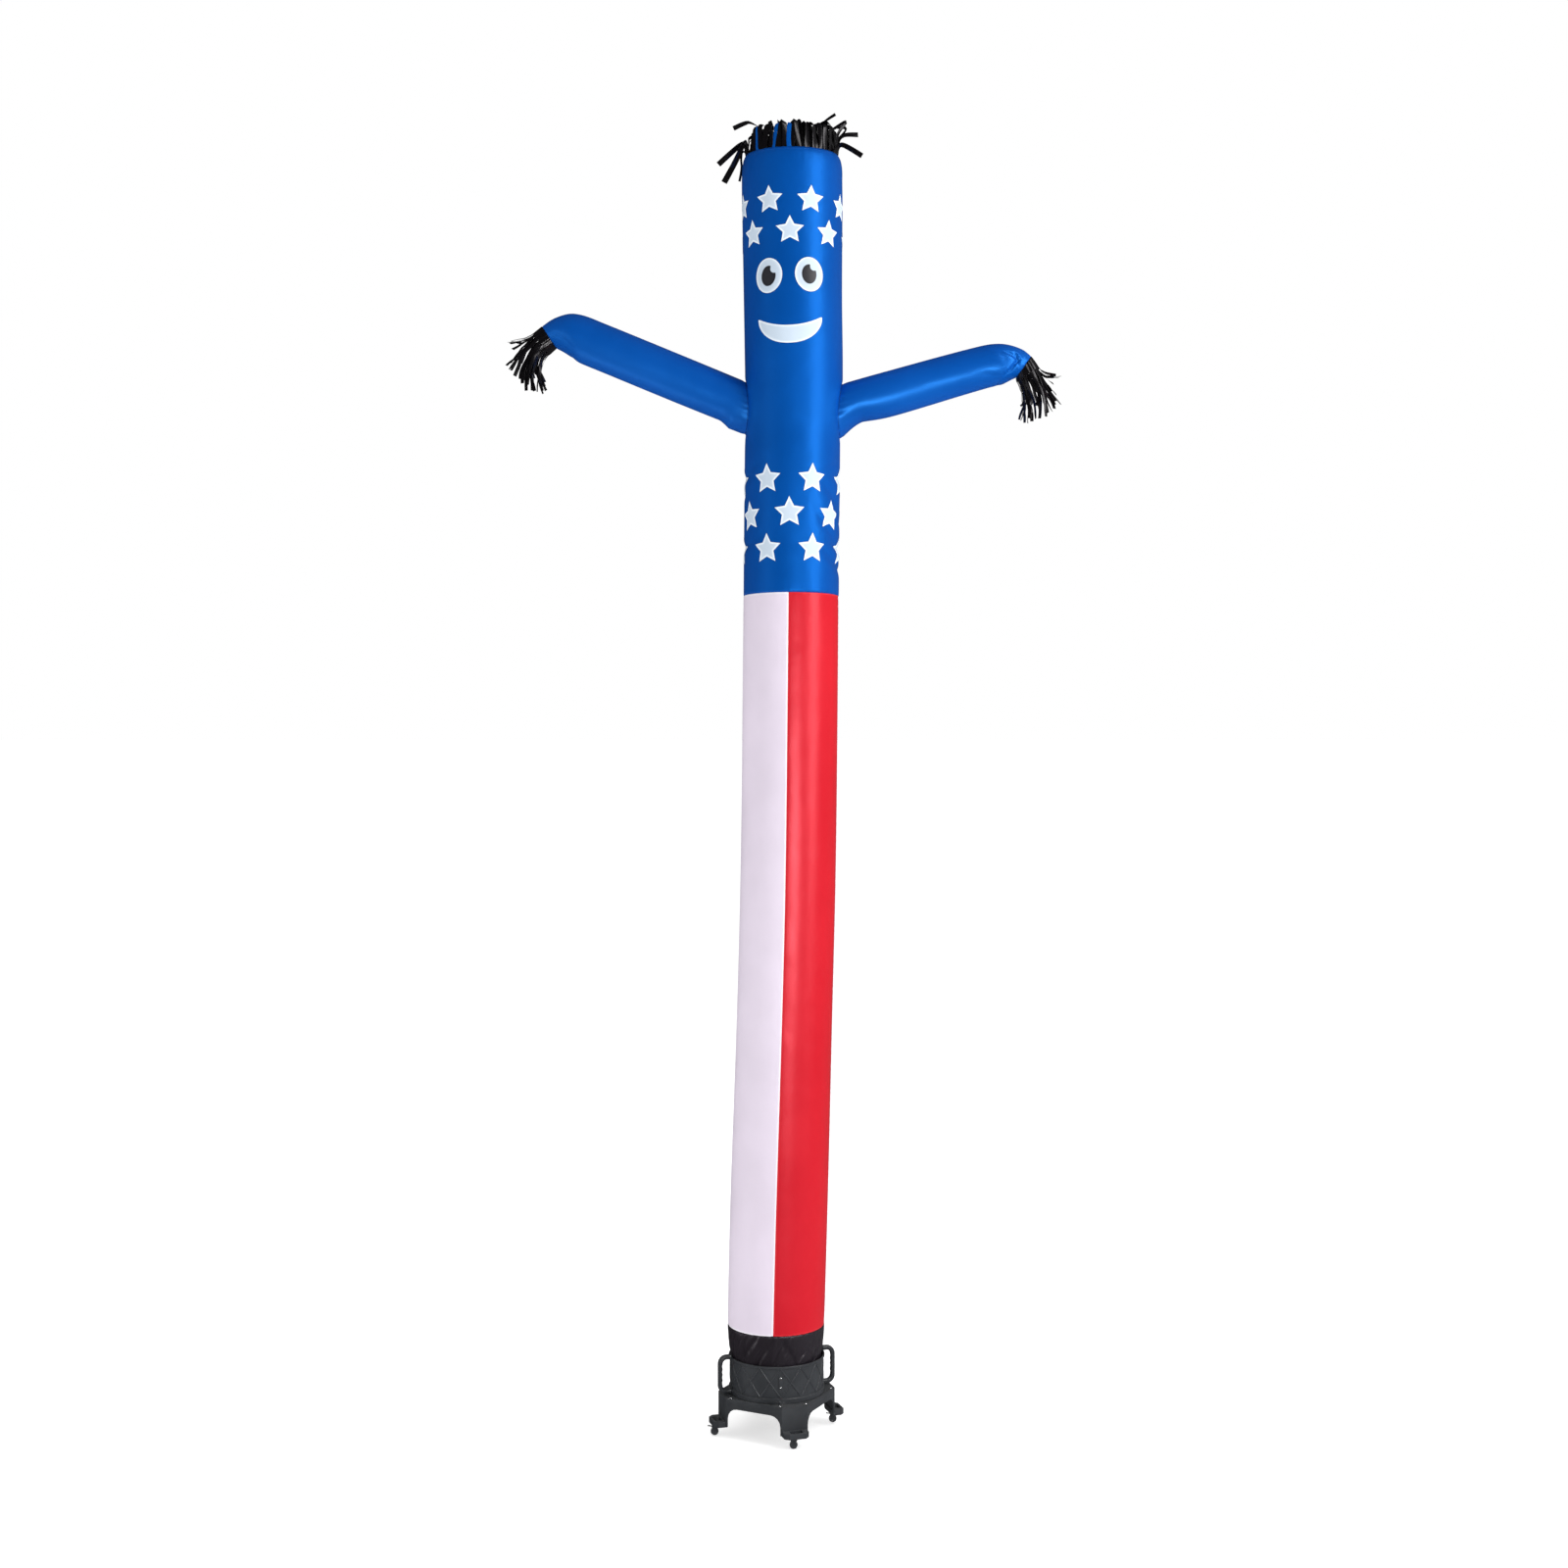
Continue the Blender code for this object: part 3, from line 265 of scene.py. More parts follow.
def softened(node, width, body=ROOT, steps=2, corner=30.0):
    """A copy of a black moulding with its sharp edges rounded off."""
    shape = bmesh.new()
    shape.from_mesh(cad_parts[node].data)
    bmesh.ops.remove_doubles(shape, verts=shape.verts, dist=1e-5)
    bmesh.ops.dissolve_limit(shape, angle_limit=math.radians(0.8), verts=shape.verts, edges=shape.edges)
    ob = placed(f"{node}_soft", plain_mesh(f"{node}_soft", shape), black_plastic, body)
    edge = ob.modifiers.new("edge", "BEVEL")
    edge.width, edge.segments, edge.limit_method = width, steps, "ANGLE"
    edge.angle_limit = math.radians(corner)
    evaluated(ob)
    ob.data.shade_smooth()
    ob.data.set_sharp_from_angle(angle=math.radians(SOFT_CORNER))
    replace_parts(ob, node)


def around(rings, shape, closed):
    """Faces between rings of corners: closed where the last ring meets the first."""
    for below, above in zip(rings, rings[1:] + rings[:1] if closed else rings[1:]):
        for i, corner in enumerate(below):
            j = (i + 1) % len(below)
            shape.faces.new((corner, below[j], above[j], above[i]))


def turned(name, profile, sides, move):
    """A ring of the closed outline (radius, height), turned round the upright axis and then moved."""
    shape = bmesh.new()
    angles = [2 * math.pi * i / sides for i in range(sides)]
    rings = [
        [shape.verts.new(move @ Vector((r * math.cos(a), r * math.sin(a), z))) for a in angles]
        for r, z in profile
    ]
    around(rings, shape, True)
    bmesh.ops.recalc_face_normals(shape, faces=shape.faces)
    return plain_mesh(name, shape, 40)


wheel_profile = [(r, -y) for r, y in HALF_WHEEL] + [(r, y) for r, y in reversed(HALF_WHEEL)]
for k, letter in enumerate("BCDA"):
    castor = f"castor_{letter.lower()}"
    softened(f"castor_{letter}_fork", 0.0005, f"{castor}_swivel")
    softened(f"castor_{letter}_brake", 0.0005, f"{castor}_lever")
    hub = direction(FRONT_LEG + 90.0 * k) * CASTOR_OUT + Vector((-TRAIL, 0.0, WHEEL))
    upright = Matrix.Translation(hub) @ Matrix.Rotation(math.radians(90), 4, "X")
    wheel = turned("tyre", wheel_profile, 40, upright)
    wheel = placed(f"castor_{letter}_tyre", wheel, clear_grey, f"{castor}_roll")
    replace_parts(wheel, f"castor_{letter}_wheel")


# ================================================================ base
# The blower's four-legged base, one black plastic moulding. Arches are cut through its sides for the
# fan's air, and a flat foot on each leg takes a castor.
softened("base", 0.0028, steps=3, corner=24.0)


# ================================================================ screws
# Bright domed screws: eight hold the drum down on the base, two the tie plate on the drum, and two
# each handle. They are zinc-plated steel, driven in from outside.
BASE_TOP = 0.1903
BOLT_OUT, BOLT_ASIDE, BOLT_SIZE = 0.250, 0.063, 0.0066
PLATE_AZIMUTH = FRONT_LEG - 180.0 / 14
PLATE_FACE, PLATE_MIDDLE = 0.2264, 0.287
TIE_SCREW_ASIDE, TIE_SCREW_SIZE = 0.022, 0.0042
GRIP_SCREW_OUT, GRIP_SCREW_SIZE = 0.2915, 0.0034
GRIP_SCREW_HEIGHTS = (0.246, 0.326)


def steel(name, colour, roughness):
    """Bright zinc-plated steel with fine wipe marks."""
    material, tree, shader = new_finish(name)
    marks = noise(tree, own_place(tree), 400.0, Detail=3.0)
    feed(tree, shader, {
        "Base Color": mixed(tree, marks, (*colour, 1), (*[0.78 * c for c in colour], 1)),
        "Roughness": ranged(tree, marks, roughness - 0.08, roughness + 0.1), "Metallic": 1.0,
    })
    return material


def geometry_tree(name, sizes):
    """An empty Geometry Nodes tree with these inputs and a finish: the tree, its inputs, its last step."""
    tree = bpy.data.node_groups.new(name, "GeometryNodeTree")
    sockets = {float: "NodeSocketFloat", int: "NodeSocketInt"}
    tree.interface.new_socket("Geometry", in_out="INPUT", socket_type="NodeSocketGeometry")
    for label, value in {**sizes, "Finish": "NodeSocketMaterial"}.items():
        kind = value if isinstance(value, str) else sockets[type(value)]
        socket = tree.interface.new_socket(label, in_out="INPUT", socket_type=kind)
        if kind is not value:
            socket.default_value = value
    tree.interface.new_socket("Geometry", in_out="OUTPUT", socket_type="NodeSocketGeometry")
    given = tree.nodes.new("NodeGroupInput").outputs

    def close(geometry):
        shaded = put(tree, "GeometryNodeSetShadeSmooth", {"Geometry": geometry})
        real = put(tree, "GeometryNodeRealizeInstances", {0: shaded})
        real = put(tree, "GeometryNodeSetMaterial", {"Geometry": real, "Material": given["Finish"]})
        put(tree, "NodeGroupOutput", {0: real})

    return tree, given, close


def named(tree, name, kind="FLOAT"):
    """The value of a point's own attribute."""
    return put(tree, "GeometryNodeInputNamedAttribute", {"Name": name}, data_type=kind)


def grown(name, mesh, tree, sizes):
    """A plain mesh made by a tree on a starting mesh."""
    ob = linked(name, mesh)
    way = ob.modifiers.new("shape", "NODES")
    way.node_group = tree
    for item in tree.interface.items_tree:
        if item.in_out == "INPUT" and item.name in sizes:
            way[item.identifier] = sizes[item.name]
    made = evaluated(ob).data
    bpy.data.objects.remove(ob)
    return made


def marked(mesh, **columns):
    """Store a list of values on a mesh's points under each name."""
    for label, column in columns.items():
        data = np.array(column, dtype=np.float32)
        vector = data.ndim == 2
        attribute = mesh.attributes.new(label, "FLOAT_VECTOR" if vector else "FLOAT", "POINT")
        attribute.data.foreach_set("vector" if vector else "value", data.ravel())


def points_mesh(name, points, edges=(), **columns):
    """Loose points or chains of them, with an attribute for each named list."""
    mesh = bpy.data.meshes.new(name)
    mesh.from_pydata([tuple(p) for p in points], list(edges), [])
    marked(mesh, **columns)
    return mesh


tree, given, close = geometry_tree("domed screws", {"Dome height": 0.62, "Washer": 1.28})
ball = put(tree, "GeometryNodeMeshUVSphere", {"Segments": 20, "Rings": 10, "Radius": 1.0})
low = combined(tree, 1.0, 1.0, given["Dome height"])
dome = put(tree, "GeometryNodeTransform", {"Geometry": ball, "Scale": low})
washer = put(tree, "GeometryNodeMeshCylinder", {"Vertices": 24, "Radius": given["Washer"], "Depth": 0.26})
screw = put(tree, "GeometryNodeJoinGeometry")
feed(tree, screw.node, {0: dome})
feed(tree, screw.node, {0: washer})
outward = named(tree, "out", "FLOAT_VECTOR")
facing = put(tree, "FunctionNodeAlignRotationToVector", {"Vector": outward}, axis="Z")
close(put(tree, "GeometryNodeInstanceOnPoints", {
    "Points": given["Geometry"], "Instance": screw, "Rotation": facing, "Scale": named(tree, "size"),
}))

driven = []  # place, direction outward, size
for k in range(4):
    leg, beside = direction(FRONT_LEG + 90.0 * k), direction(FRONT_LEG + 90.0 * k + 90)
    for s in (-1, 1):
        spot = leg * BOLT_OUT + beside * BOLT_ASIDE * s + Vector((0, 0, BASE_TOP))
        driven.append((spot, Vector((0, 0, 1)), BOLT_SIZE))
plate_way = direction(PLATE_AZIMUTH)
for s in (-1, 1):
    spot = plate_way * PLATE_FACE + Vector((0, 0, PLATE_MIDDLE + TIE_SCREW_ASIDE * s))
    driven.append((spot, plate_way, TIE_SCREW_SIZE))
for azimuth in (FRONT_LEG - 90.0, FRONT_LEG + 90.0):
    for height in GRIP_SCREW_HEIGHTS:
        spot = direction(azimuth) * GRIP_SCREW_OUT + Vector((0, 0, height))
        driven.append((spot, direction(azimuth), GRIP_SCREW_SIZE))
places, ways, sizes = zip(*driven)
zinc = steel("bright_zinc", (0.78, 0.79, 0.80), 0.22)
screws = placed("screws", grown(
    "screws", points_mesh("screw_places", places, out=ways, size=sizes), tree, {"Finish": zinc},
), None)
bolts = [f"base_bolt_{k}{side}" for k in (1, 2, 3, 4) for side in "ab"]
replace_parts(screws, "tie_screw_1", "tie_screw_2", *bolts)


# ================================================================ drum
# The round housing of the fan, a black plastic moulding that stands on the base. Plain bands edge
# its side, and fourteen raised diamonds of half-round ribs stiffen it between them.
DRUM_WALL = 0.2222
DRUM_PROFILE = (  # radius, height: up the outside, over the rim and down the inside
    (0.2274, BASE_TOP), (0.2290, 0.1920), (0.2290, 0.2118), (0.2276, 0.2134), (0.2236, 0.2140),
    (DRUM_WALL, 0.2152), (DRUM_WALL, 0.3528), (0.2236, 0.3538), (0.2276, 0.3543), (0.2290, 0.3556),
    (0.2290, 0.3624), (0.2276, 0.3640), (0.2232, 0.3640), (0.2217, 0.3624), (0.2200, 0.3310),
    (0.2190, 0.3300), (0.2060, 0.3300), (0.2050, 0.3290), (0.2050, 0.3230), (0.2060, 0.3220),
    (0.2170, 0.3168), (0.2180, 0.3150), (0.2180, BASE_TOP),
)
drum = placed("drum_shell", turned("drum_shell", DRUM_PROFILE, 112, Matrix()), black_plastic)
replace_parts(drum, "drum")

rib_sizes = {
    "Diamonds": 14, "Start": 0.0, "Wall": DRUM_WALL, "Low": 0.216, "High": 0.352,
    "Rib radius": 0.0045, "Sunk": 0.0015,
}
tree, given, close = geometry_tree("diamond ribs", rib_sizes)
run = put(tree, "GeometryNodeCurvePrimitiveLine", {"End": (0.0, 0.0, 1.0)})
run = put(tree, "GeometryNodeResampleCurve", {"Curve": run, "Count": 13})
copies = put(tree, "GeometryNodeDuplicateElements", {
    "Geometry": run, "Amount": given["Diamonds"],
}, domain="SPLINE")
place = also(split(tree, put(tree, "GeometryNodeInputPosition")), "Z")
pitch = maths(tree, "DIVIDE", 2 * math.pi, given["Diamonds"])
centre_line = maths(tree, "SUBTRACT", given["Wall"], given["Sunk"])
height = ranged(tree, place, given["Low"], given["High"])
round_bar = put(tree, "GeometryNodeCurvePrimitiveCircle", {"Resolution": 10, "Radius": given["Rib radius"]})
both = put(tree, "GeometryNodeJoinGeometry")
for way, shift in ((1.0, 0.0), (-1.0, 1.0)):
    step = maths(tree, "ADD", also(copies, "Duplicate Index"), maths(tree, "MULTIPLY_ADD", place, way, shift))
    angle = maths(tree, "MULTIPLY_ADD", step, pitch, given["Start"])
    x = maths(tree, "MULTIPLY", maths(tree, "SINE", angle), centre_line)
    y = maths(tree, "MULTIPLY", maths(tree, "COSINE", angle), maths(tree, "MULTIPLY", centre_line, -1.0))
    bent = put(tree, "GeometryNodeSetPosition", {
        "Geometry": copies, "Position": combined(tree, x, y, height),
    })
    feed(tree, both.node, {0: put(tree, "GeometryNodeCurveToMesh", {
        "Curve": bent, "Profile Curve": round_bar, "Fill Caps": True,
    })})
close(both)
rib_sizes |= {"Start": math.radians(PLATE_AZIMUTH), "Finish": black_plastic}
ribs = grown("ribs", points_mesh("rib_start", [(0, 0, 0)]), tree, rib_sizes)
placed("drum_ribs", ribs, None)


# ================================================================ handles and tie plate
# Two bowed carrying grips, moulded in black plastic with hollows for the fingers and screwed to the
# drum, and the small plate in the front diamond that a guy line can be tied to.
GRIP_FOOT, GRIP_OUT = 0.2290, 0.281
GRIP_LOW, GRIP_HIGH = 0.205, 0.367
GRIP_CORNER = 0.030
GRIP_THICK, GRIP_WIDE = 0.022, 0.026
GRIP_SIDES = 20
SQUARED = 0.62  # below 1 the section's corners fill out
FINGERS, HOLLOW = 4, 0.0026
FINGER_STEPS = 32

# Rings across the grip: distance out, height, direction in degrees, depth of the hollow, swell.
flare = ((-0.004, 1.16), (0.004, 1.10), (0.012, 1.0))
stations = [(GRIP_FOOT + out, GRIP_LOW, 0.0, 0.0, swell) for out, swell in flare]
for way in range(0, 181, 10):
    a = math.radians(way)
    out = GRIP_OUT - GRIP_CORNER * (1 - math.sin(a))
    if way <= 90:
        stations.append((out, GRIP_LOW + GRIP_CORNER * (1 - math.cos(a)), float(way), 0.0, 1.0))
    if way == 90:
        span = GRIP_HIGH - GRIP_LOW - 2 * GRIP_CORNER
        for k in range(1, FINGER_STEPS):
            hollow = HOLLOW * math.sin(math.pi * FINGERS * k / FINGER_STEPS) ** 2
            stations.append((GRIP_OUT, GRIP_LOW + GRIP_CORNER + span * k / FINGER_STEPS, 90.0, hollow, 1.0))
    if way >= 90:
        stations.append((out, GRIP_HIGH - GRIP_CORNER * (1 + math.cos(a)), float(way), 0.0, 1.0))
stations += [(GRIP_FOOT + out, GRIP_HIGH, 180.0, 0.0, swell) for out, swell in reversed(flare)]
for side, azimuth in (("left", FRONT_LEG - 90.0), ("right", FRONT_LEG + 90.0)):
    shape = bmesh.new()
    turn_to = Matrix.Rotation(math.radians(azimuth - 90.0), 4, "Z")
    rings = []
    for out, height, way, hollow, swell in stations:
        w = math.radians(way)
        outer = Vector((math.sin(w), 0.0, -math.cos(w)))
        ring = []
        for i in range(GRIP_SIDES):
            a = 2 * math.pi * i / GRIP_SIDES
            u, v = (math.copysign(abs(f) ** SQUARED, f) for f in (math.cos(a), math.sin(a)))
            thick = GRIP_THICK / 2 * swell - (hollow if u < 0 else 0.0)
            spot = Vector((out, v * swell * GRIP_WIDE / 2, height)) + outer * (u * thick)
            ring.append(shape.verts.new(turn_to @ spot))
        rings.append(ring)
    around(rings, shape, False)
    shape.faces.new(rings[0])
    shape.faces.new(rings[-1])
    bmesh.ops.recalc_face_normals(shape, faces=shape.faces)
    mesh = plain_mesh(f"grip_{side}", shape)
    mesh.shade_smooth()
    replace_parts(placed(f"grip_{side}", mesh, black_plastic), f"handle_{side}")

softened("tie_plate", 0.0007)


# ================================================================ foot sleeve
# The black sleeve at the tube's foot, sewn from coated nylon. It stands inside the rim of the drum,
# where it is gathered in, so its lower half is thrown into slanting folds.
SEAM = -3.3  # azimuth of the front seam between the white and the red panel
CLOTH_ROUND = 0.228  # turns an angle into distance along the cloth
CLOTH, WELD = 0.001, 0.00005  # thickness, and the gap that is closed where a tube's edges meet
SLEEVE_FOOT, SLEEVE_TOP = 0.3303, 0.508
TUBE = (  # height, sideways lean of the middle, radius
    (0.330, -0.001, 0.2140), (0.364, -0.003, 0.2160), (0.420, -0.004, 0.2260), (0.508, -0.003, 0.2310),
    (1.110, 0.012, 0.2330), (1.860, 0.035, 0.2285), (2.610, 0.054, 0.2275), (3.540, 0.065, 0.2265),
    (4.660, 0.075, 0.2260), (4.760, 0.077, 0.2250), (4.985, 0.082, 0.2315), (5.400, 0.077, 0.2330),
    (5.840, 0.074, 0.2380), (5.930, 0.073, 0.2380), (5.990, 0.074, 0.2365), (6.030, 0.073, 0.2300),
    (6.050, 0.072, 0.2195),
)


def smooth(rows, at):
    """Every column of a table after the first, read off a smooth curve through its rows."""
    last = len(rows) - 1
    k = max(0, min(last - 1, sum(1 for row in rows if row[0] <= at) - 1))
    low, high = rows[k], rows[k + 1]
    step = high[0] - low[0]
    t = (at - low[0]) / step
    before, after = rows[max(k - 1, 0)], rows[min(k + 2, last)]
    h = 2 * t**3 - 3 * t**2 + 1
    values = []
    for c in range(1, len(low)):
        slope_low = (high[c] - before[c]) / (high[0] - before[0]) * step
        slope_high = (after[c] - low[c]) / (after[0] - low[0]) * step
        bend = (t**3 - 2 * t**2 + t) * slope_low
        values.append(h * low[c] + bend + (1 - h) * high[c] + (t**3 - t**2) * slope_high)
    return values


def cloth_finish(
    name, colour, edge, roughness, specular, tint=(1, 1, 1), ripple=0.8, metal=0.0, hem=None, streak=0.0,
):
    """Coated nylon: a fine plain weave, soft ripples, uneven tone, and another tone along its seams."""
    material, tree, shader = new_finish(name)
    cut = put(tree, "ShaderNodeUVMap", uv_map="UVMap")
    at = own_place(tree)
    cloud = noise(tree, at, 2.4, Detail=3.0)
    threads = [
        also(put(tree, "ShaderNodeTexWave", {"Vector": cut, "Scale": 260.0}, bands_direction=way), "Fac")
        for way in "XY"
    ]
    weave = maths(tree, "MULTIPLY", *threads)
    uneven = ranged(tree, cloud, 0.95, 1.05, *MOST_NOISE)
    worn = ranged(tree, cloud, roughness - 0.04, roughness + 0.05, *MOST_NOISE)
    dyed = scaled(tree, colour, maths(tree, "MULTIPLY", uneven, ranged(tree, weave, 0.97, 1.03)))
    for label, tone in (("seam", edge), ("hem", hem)):
        if tone:
            share = also(put(tree, "ShaderNodeAttribute", attribute_name=label), "Fac")
            dyed = mixed(tree, share, dyed, (*tone, 1))
    slack = noise(tree, at, 5.5, Detail=1.5, Distortion=0.4)
    normal = bumped(tree, slack, 0.012 * ripple, 0.5)
    normal = bumped(tree, noise(tree, at, 46.0, Detail=3.0), 0.0009 * ripple, 0.35, Normal=normal)
    if streak:
        slanted = put(tree, "ShaderNodeMapping", {
            "Vector": cut, "Rotation": (0, 0, math.radians(-36)), "Scale": (0.046, 0.19, 1),
        }, vector_type="TEXTURE")
        drawn = noise(tree, slanted, 1.0, Detail=1.5, Distortion=1.0)
        normal = bumped(tree, drawn, streak, 0.8, Normal=normal)
    feed(tree, shader, {
        "Base Color": dyed, "Roughness": worn, "Metallic": metal,
        "Normal": bumped(tree, weave, 0.00012, 0.4, Normal=normal),
        "Specular IOR Level": specular, "Specular Tint": (*tint, 1),
    })
    return material


def added(tree, one, other):
    return put(tree, "ShaderNodeVectorMath", {0: one, 1: other}, operation="ADD")


def stored(tree, geometry, name, value, kind, domain="POINT"):
    return put(tree, "GeometryNodeStoreNamedAttribute", {
        "Geometry": geometry, "Name": name, "Value": value,
    }, data_type=kind, domain=domain)


# The tree that makes every inflated piece: a grid wrapped round a chain of middle points, each with
# its own radius, measure along the cloth, and directions to angle 0 and to angle 90.
tree, given, close = geometry_tree("inflated cloth", {
    "Columns": 96, "Start": 0.0, "Sweep": 2 * math.pi, "Gather": 0.0, "Round": CLOTH_ROUND,
})
tube_tree = tree
rows = also(put(tree, "GeometryNodeAttributeDomainSize", {"Geometry": given["Geometry"]}), "Point Count")
sheet = put(tree, "GeometryNodeMeshGrid", {
    "Size X": 1.0, "Size Y": 1.0, "Vertices X": maths(tree, "ADD", given["Columns"], 1.0), "Vertices Y": rows,
})
last_row = maths(tree, "SUBTRACT", rows, 1.0)


def wrapped(source, shift):
    """Angle and row for a place on the flat grid: its columns gather towards both edges where asked."""
    flat = split(tree, source)
    t, v = (maths(tree, "ADD", also(flat, axis), shift) for axis in "XY")
    swing = maths(tree, "SINE", maths(tree, "MULTIPLY", t, 2 * math.pi))
    pull = maths(tree, "MULTIPLY", given["Gather"], -1 / (2 * math.pi))
    spread = maths(tree, "MULTIPLY_ADD", swing, pull, t)
    angle = maths(tree, "MULTIPLY_ADD", spread, given["Sweep"], given["Start"])
    return angle, maths(tree, "ROUND", maths(tree, "MULTIPLY", v, last_row))


def from_row(value, row, kind="FLOAT"):
    return put(tree, "GeometryNodeSampleIndex", {
        "Geometry": given["Geometry"], "Value": value, "Index": row,
    }, data_type=kind, domain="POINT")


angle, row = wrapped(put(tree, "GeometryNodeInputPosition"), 0.5)
parts = []
for label, function in (("aside", "SINE"), ("front", "COSINE")):
    axis = from_row(named(tree, label, "FLOAT_VECTOR"), row, "FLOAT_VECTOR")
    parts.append(scaled(tree, axis, maths(tree, function, angle)))
outward = added(tree, *parts)
middle = from_row(put(tree, "GeometryNodeInputPosition"), row, "FLOAT_VECTOR")
skin_at = added(tree, middle, scaled(tree, outward, from_row(named(tree, "radius"), row)))
cloth = stored(tree, sheet, "turn", angle, "FLOAT")
cloth = stored(tree, cloth, "measure", from_row(named(tree, "measure"), row), "FLOAT")
cloth = stored(tree, cloth, "out", outward, "FLOAT_VECTOR")
corner_angle, corner_row = wrapped(also(sheet, "UV Map"), 0.0)
round_it = maths(tree, "MULTIPLY", corner_angle, given["Round"])
cut = combined(tree, round_it, from_row(named(tree, "measure"), corner_row))
cloth = stored(tree, cloth, "UVMap", cut, "FLOAT2", "CORNER")
close(put(tree, "GeometryNodeSetPosition", {"Geometry": cloth, "Position": skin_at}))


def joined(mesh, gap):
    """Merge what lies within a gap, such as the two edges of a tube's sheet."""
    shape = bmesh.new()
    shape.from_mesh(mesh)
    bmesh.ops.remove_doubles(shape, verts=shape.verts, dist=gap)
    shape.to_mesh(mesh)
    shape.free()


def column(items, key, width=1):
    """One value of every point, as numbers or rows of numbers."""
    data = np.empty(len(items) * width, np.float32)
    items.foreach_get(key, data)
    return data.astype(float) if width == 1 else data.reshape(-1, width).astype(float)


def thickened(ob, thickness):
    """Thickness added inward, from the outside of the cloth."""
    wall = ob.modifiers.new("cloth", "SOLIDIFY")
    wall.thickness, wall.offset, wall.use_even_offset = thickness, -1.0, False


def inflated(name, spine, sizes, relief, lift=None):
    """A cloth tube or panel on a spine of (middle, radius, measure, front, aside), pressed in by relief."""
    middles, radius, measure, front, aside = zip(*spine)
    mesh = points_mesh(f"{name}_spine", middles, radius=radius, measure=measure, front=front, aside=aside)
    mesh = grown(name, mesh, tube_tree, sizes)
    place = column(mesh.vertices, "co", 3)
    out = column(mesh.attributes["out"].data, "vector", 3)
    turn = column(mesh.attributes["turn"].data, "value")
    measured = column(mesh.attributes["measure"].data, "value")
    depth, seam = relief(place, turn, measured)
    place = place - out * depth[:, None]
    if lift:
        place[:, 2] += lift(turn, measured)
    mesh.vertices.foreach_set("co", place.astype(np.float32).ravel())
    marked(mesh, seam=np.clip(seam, 0, 1))
    joined(mesh, WELD)
    ob = placed(name, mesh, None)
    thickened(ob, CLOTH)
    return ob


def upright_spine(heights):
    """Middle points of the tube at these heights."""
    spine = []
    for z in heights:
        lean, radius = smooth(TUBE, z)
        spine.append(((lean, 0.0, z), radius, z, (0.0, -1.0, 0.0), (1.0, 0.0, 0.0)))
    return spine


def creased(turn, measure, creases, sharp=0.35, keen_width=0.45, cloth_round=CLOTH_ROUND):
    """Depth of creases (angle, measure, slope, half length, half width, depth) with sharper middles."""
    depth = np.zeros(len(turn))
    for at_angle, at_measure, slope, half_length, half_width, deepest in creases:
        u = np.radians((np.degrees(turn) - at_angle + 180) % 360 - 180) * cloth_round
        v = measure - at_measure
        s = math.radians(slope)
        along, aside = u * math.cos(s) + v * math.sin(s), v * math.cos(s) - u * math.sin(s)
        fade = np.where(np.abs(along) < half_length, np.cos(along / half_length * math.pi / 2), 0.0)
        soft = np.exp(-((aside / half_width) ** 2))
        keen = np.exp(-np.abs(aside) / (keen_width * half_width))
        depth += deepest * fade * ((1 - sharp) * soft + sharp * keen)
    return depth


def groove(distance, width, power=2):
    """1 on a line and nothing beyond a width from it: the higher the power, the flatter the middle."""
    return np.exp(-((distance / width) ** power))


def puckered(distance, depth, reach, phase):
    """Small gathers along a seam, which fade away from it."""
    return depth * np.exp(-distance / reach) * (1 + np.sin(phase))


def even(low, high, step):
    """Values a step apart, or a little less, from low to high."""
    count = max(2, round((high - low) / step) + 1)
    return [low + (high - low) * k / (count - 1) for k in range(count)]


def finish_sheet(ob, **facts):
    evaluated(ob)


black_cloth = cloth_finish(
    "black_coated_nylon", (0.0135, 0.0105, 0.0150), (0.017, 0.013, 0.019), 0.34, 0.60, (1, 0.93, 1.0), 2.0,
    streak=0.011,
)
SLEEVE_FOLDS = 46
sleeve_folds = [
    (-18, 0.400, 56, 0.11, 0.013, 0.009), (-38, 0.420, 50, 0.10, 0.013, 0.008),
    (20, 0.405, -62, 0.09, 0.014, 0.007), (2, 0.415, 62, 0.09, 0.012, 0.007),
    (42, 0.430, 40, 0.09, 0.012, 0.006), (60, 0.410, 66, 0.09, 0.014, 0.008),
    (-95, 0.410, 60, 0.09, 0.020, 0.005), (140, 0.405, -60, 0.09, 0.020, 0.005),
    (-150, 0.400, 62, 0.09, 0.020, 0.005),
]
fold = random.Random(11)
for k in range(SLEEVE_FOLDS):
    sleeve_folds.append((
        -180 + 360 * (k + fold.uniform(-0.4, 0.4)) / SLEEVE_FOLDS, fold.uniform(0.365, 0.43),
        fold.choice((1, 1, -1)) * fold.uniform(48, 80), fold.uniform(0.04, 0.10), fold.uniform(0.005, 0.010),
        fold.uniform(0.0020, 0.0050),
    ))


def sleeve_relief(place, turn, height):
    depth = creased(turn, height, sleeve_folds, 0.5)
    top = SLEEVE_TOP - height
    depth += 0.0012 * groove(top, 0.006) + puckered(top, 0.0010, 0.03, turn * 41 + 2 * np.sin(turn * 5))
    return depth, groove(top - 0.006, 0.004)


sleeve = inflated(
    "black_sleeve", upright_spine(even(SLEEVE_FOOT, SLEEVE_TOP - 0.0002, 0.006)),
    {"Columns": 216, "Start": math.radians(SEAM), "Finish": black_cloth}, sleeve_relief,
)
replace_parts(sleeve, "foot_sleeve")
finish_sheet(sleeve, flat=(1.44, 0.18), held="gathered", rests_on=["drum_shell"])


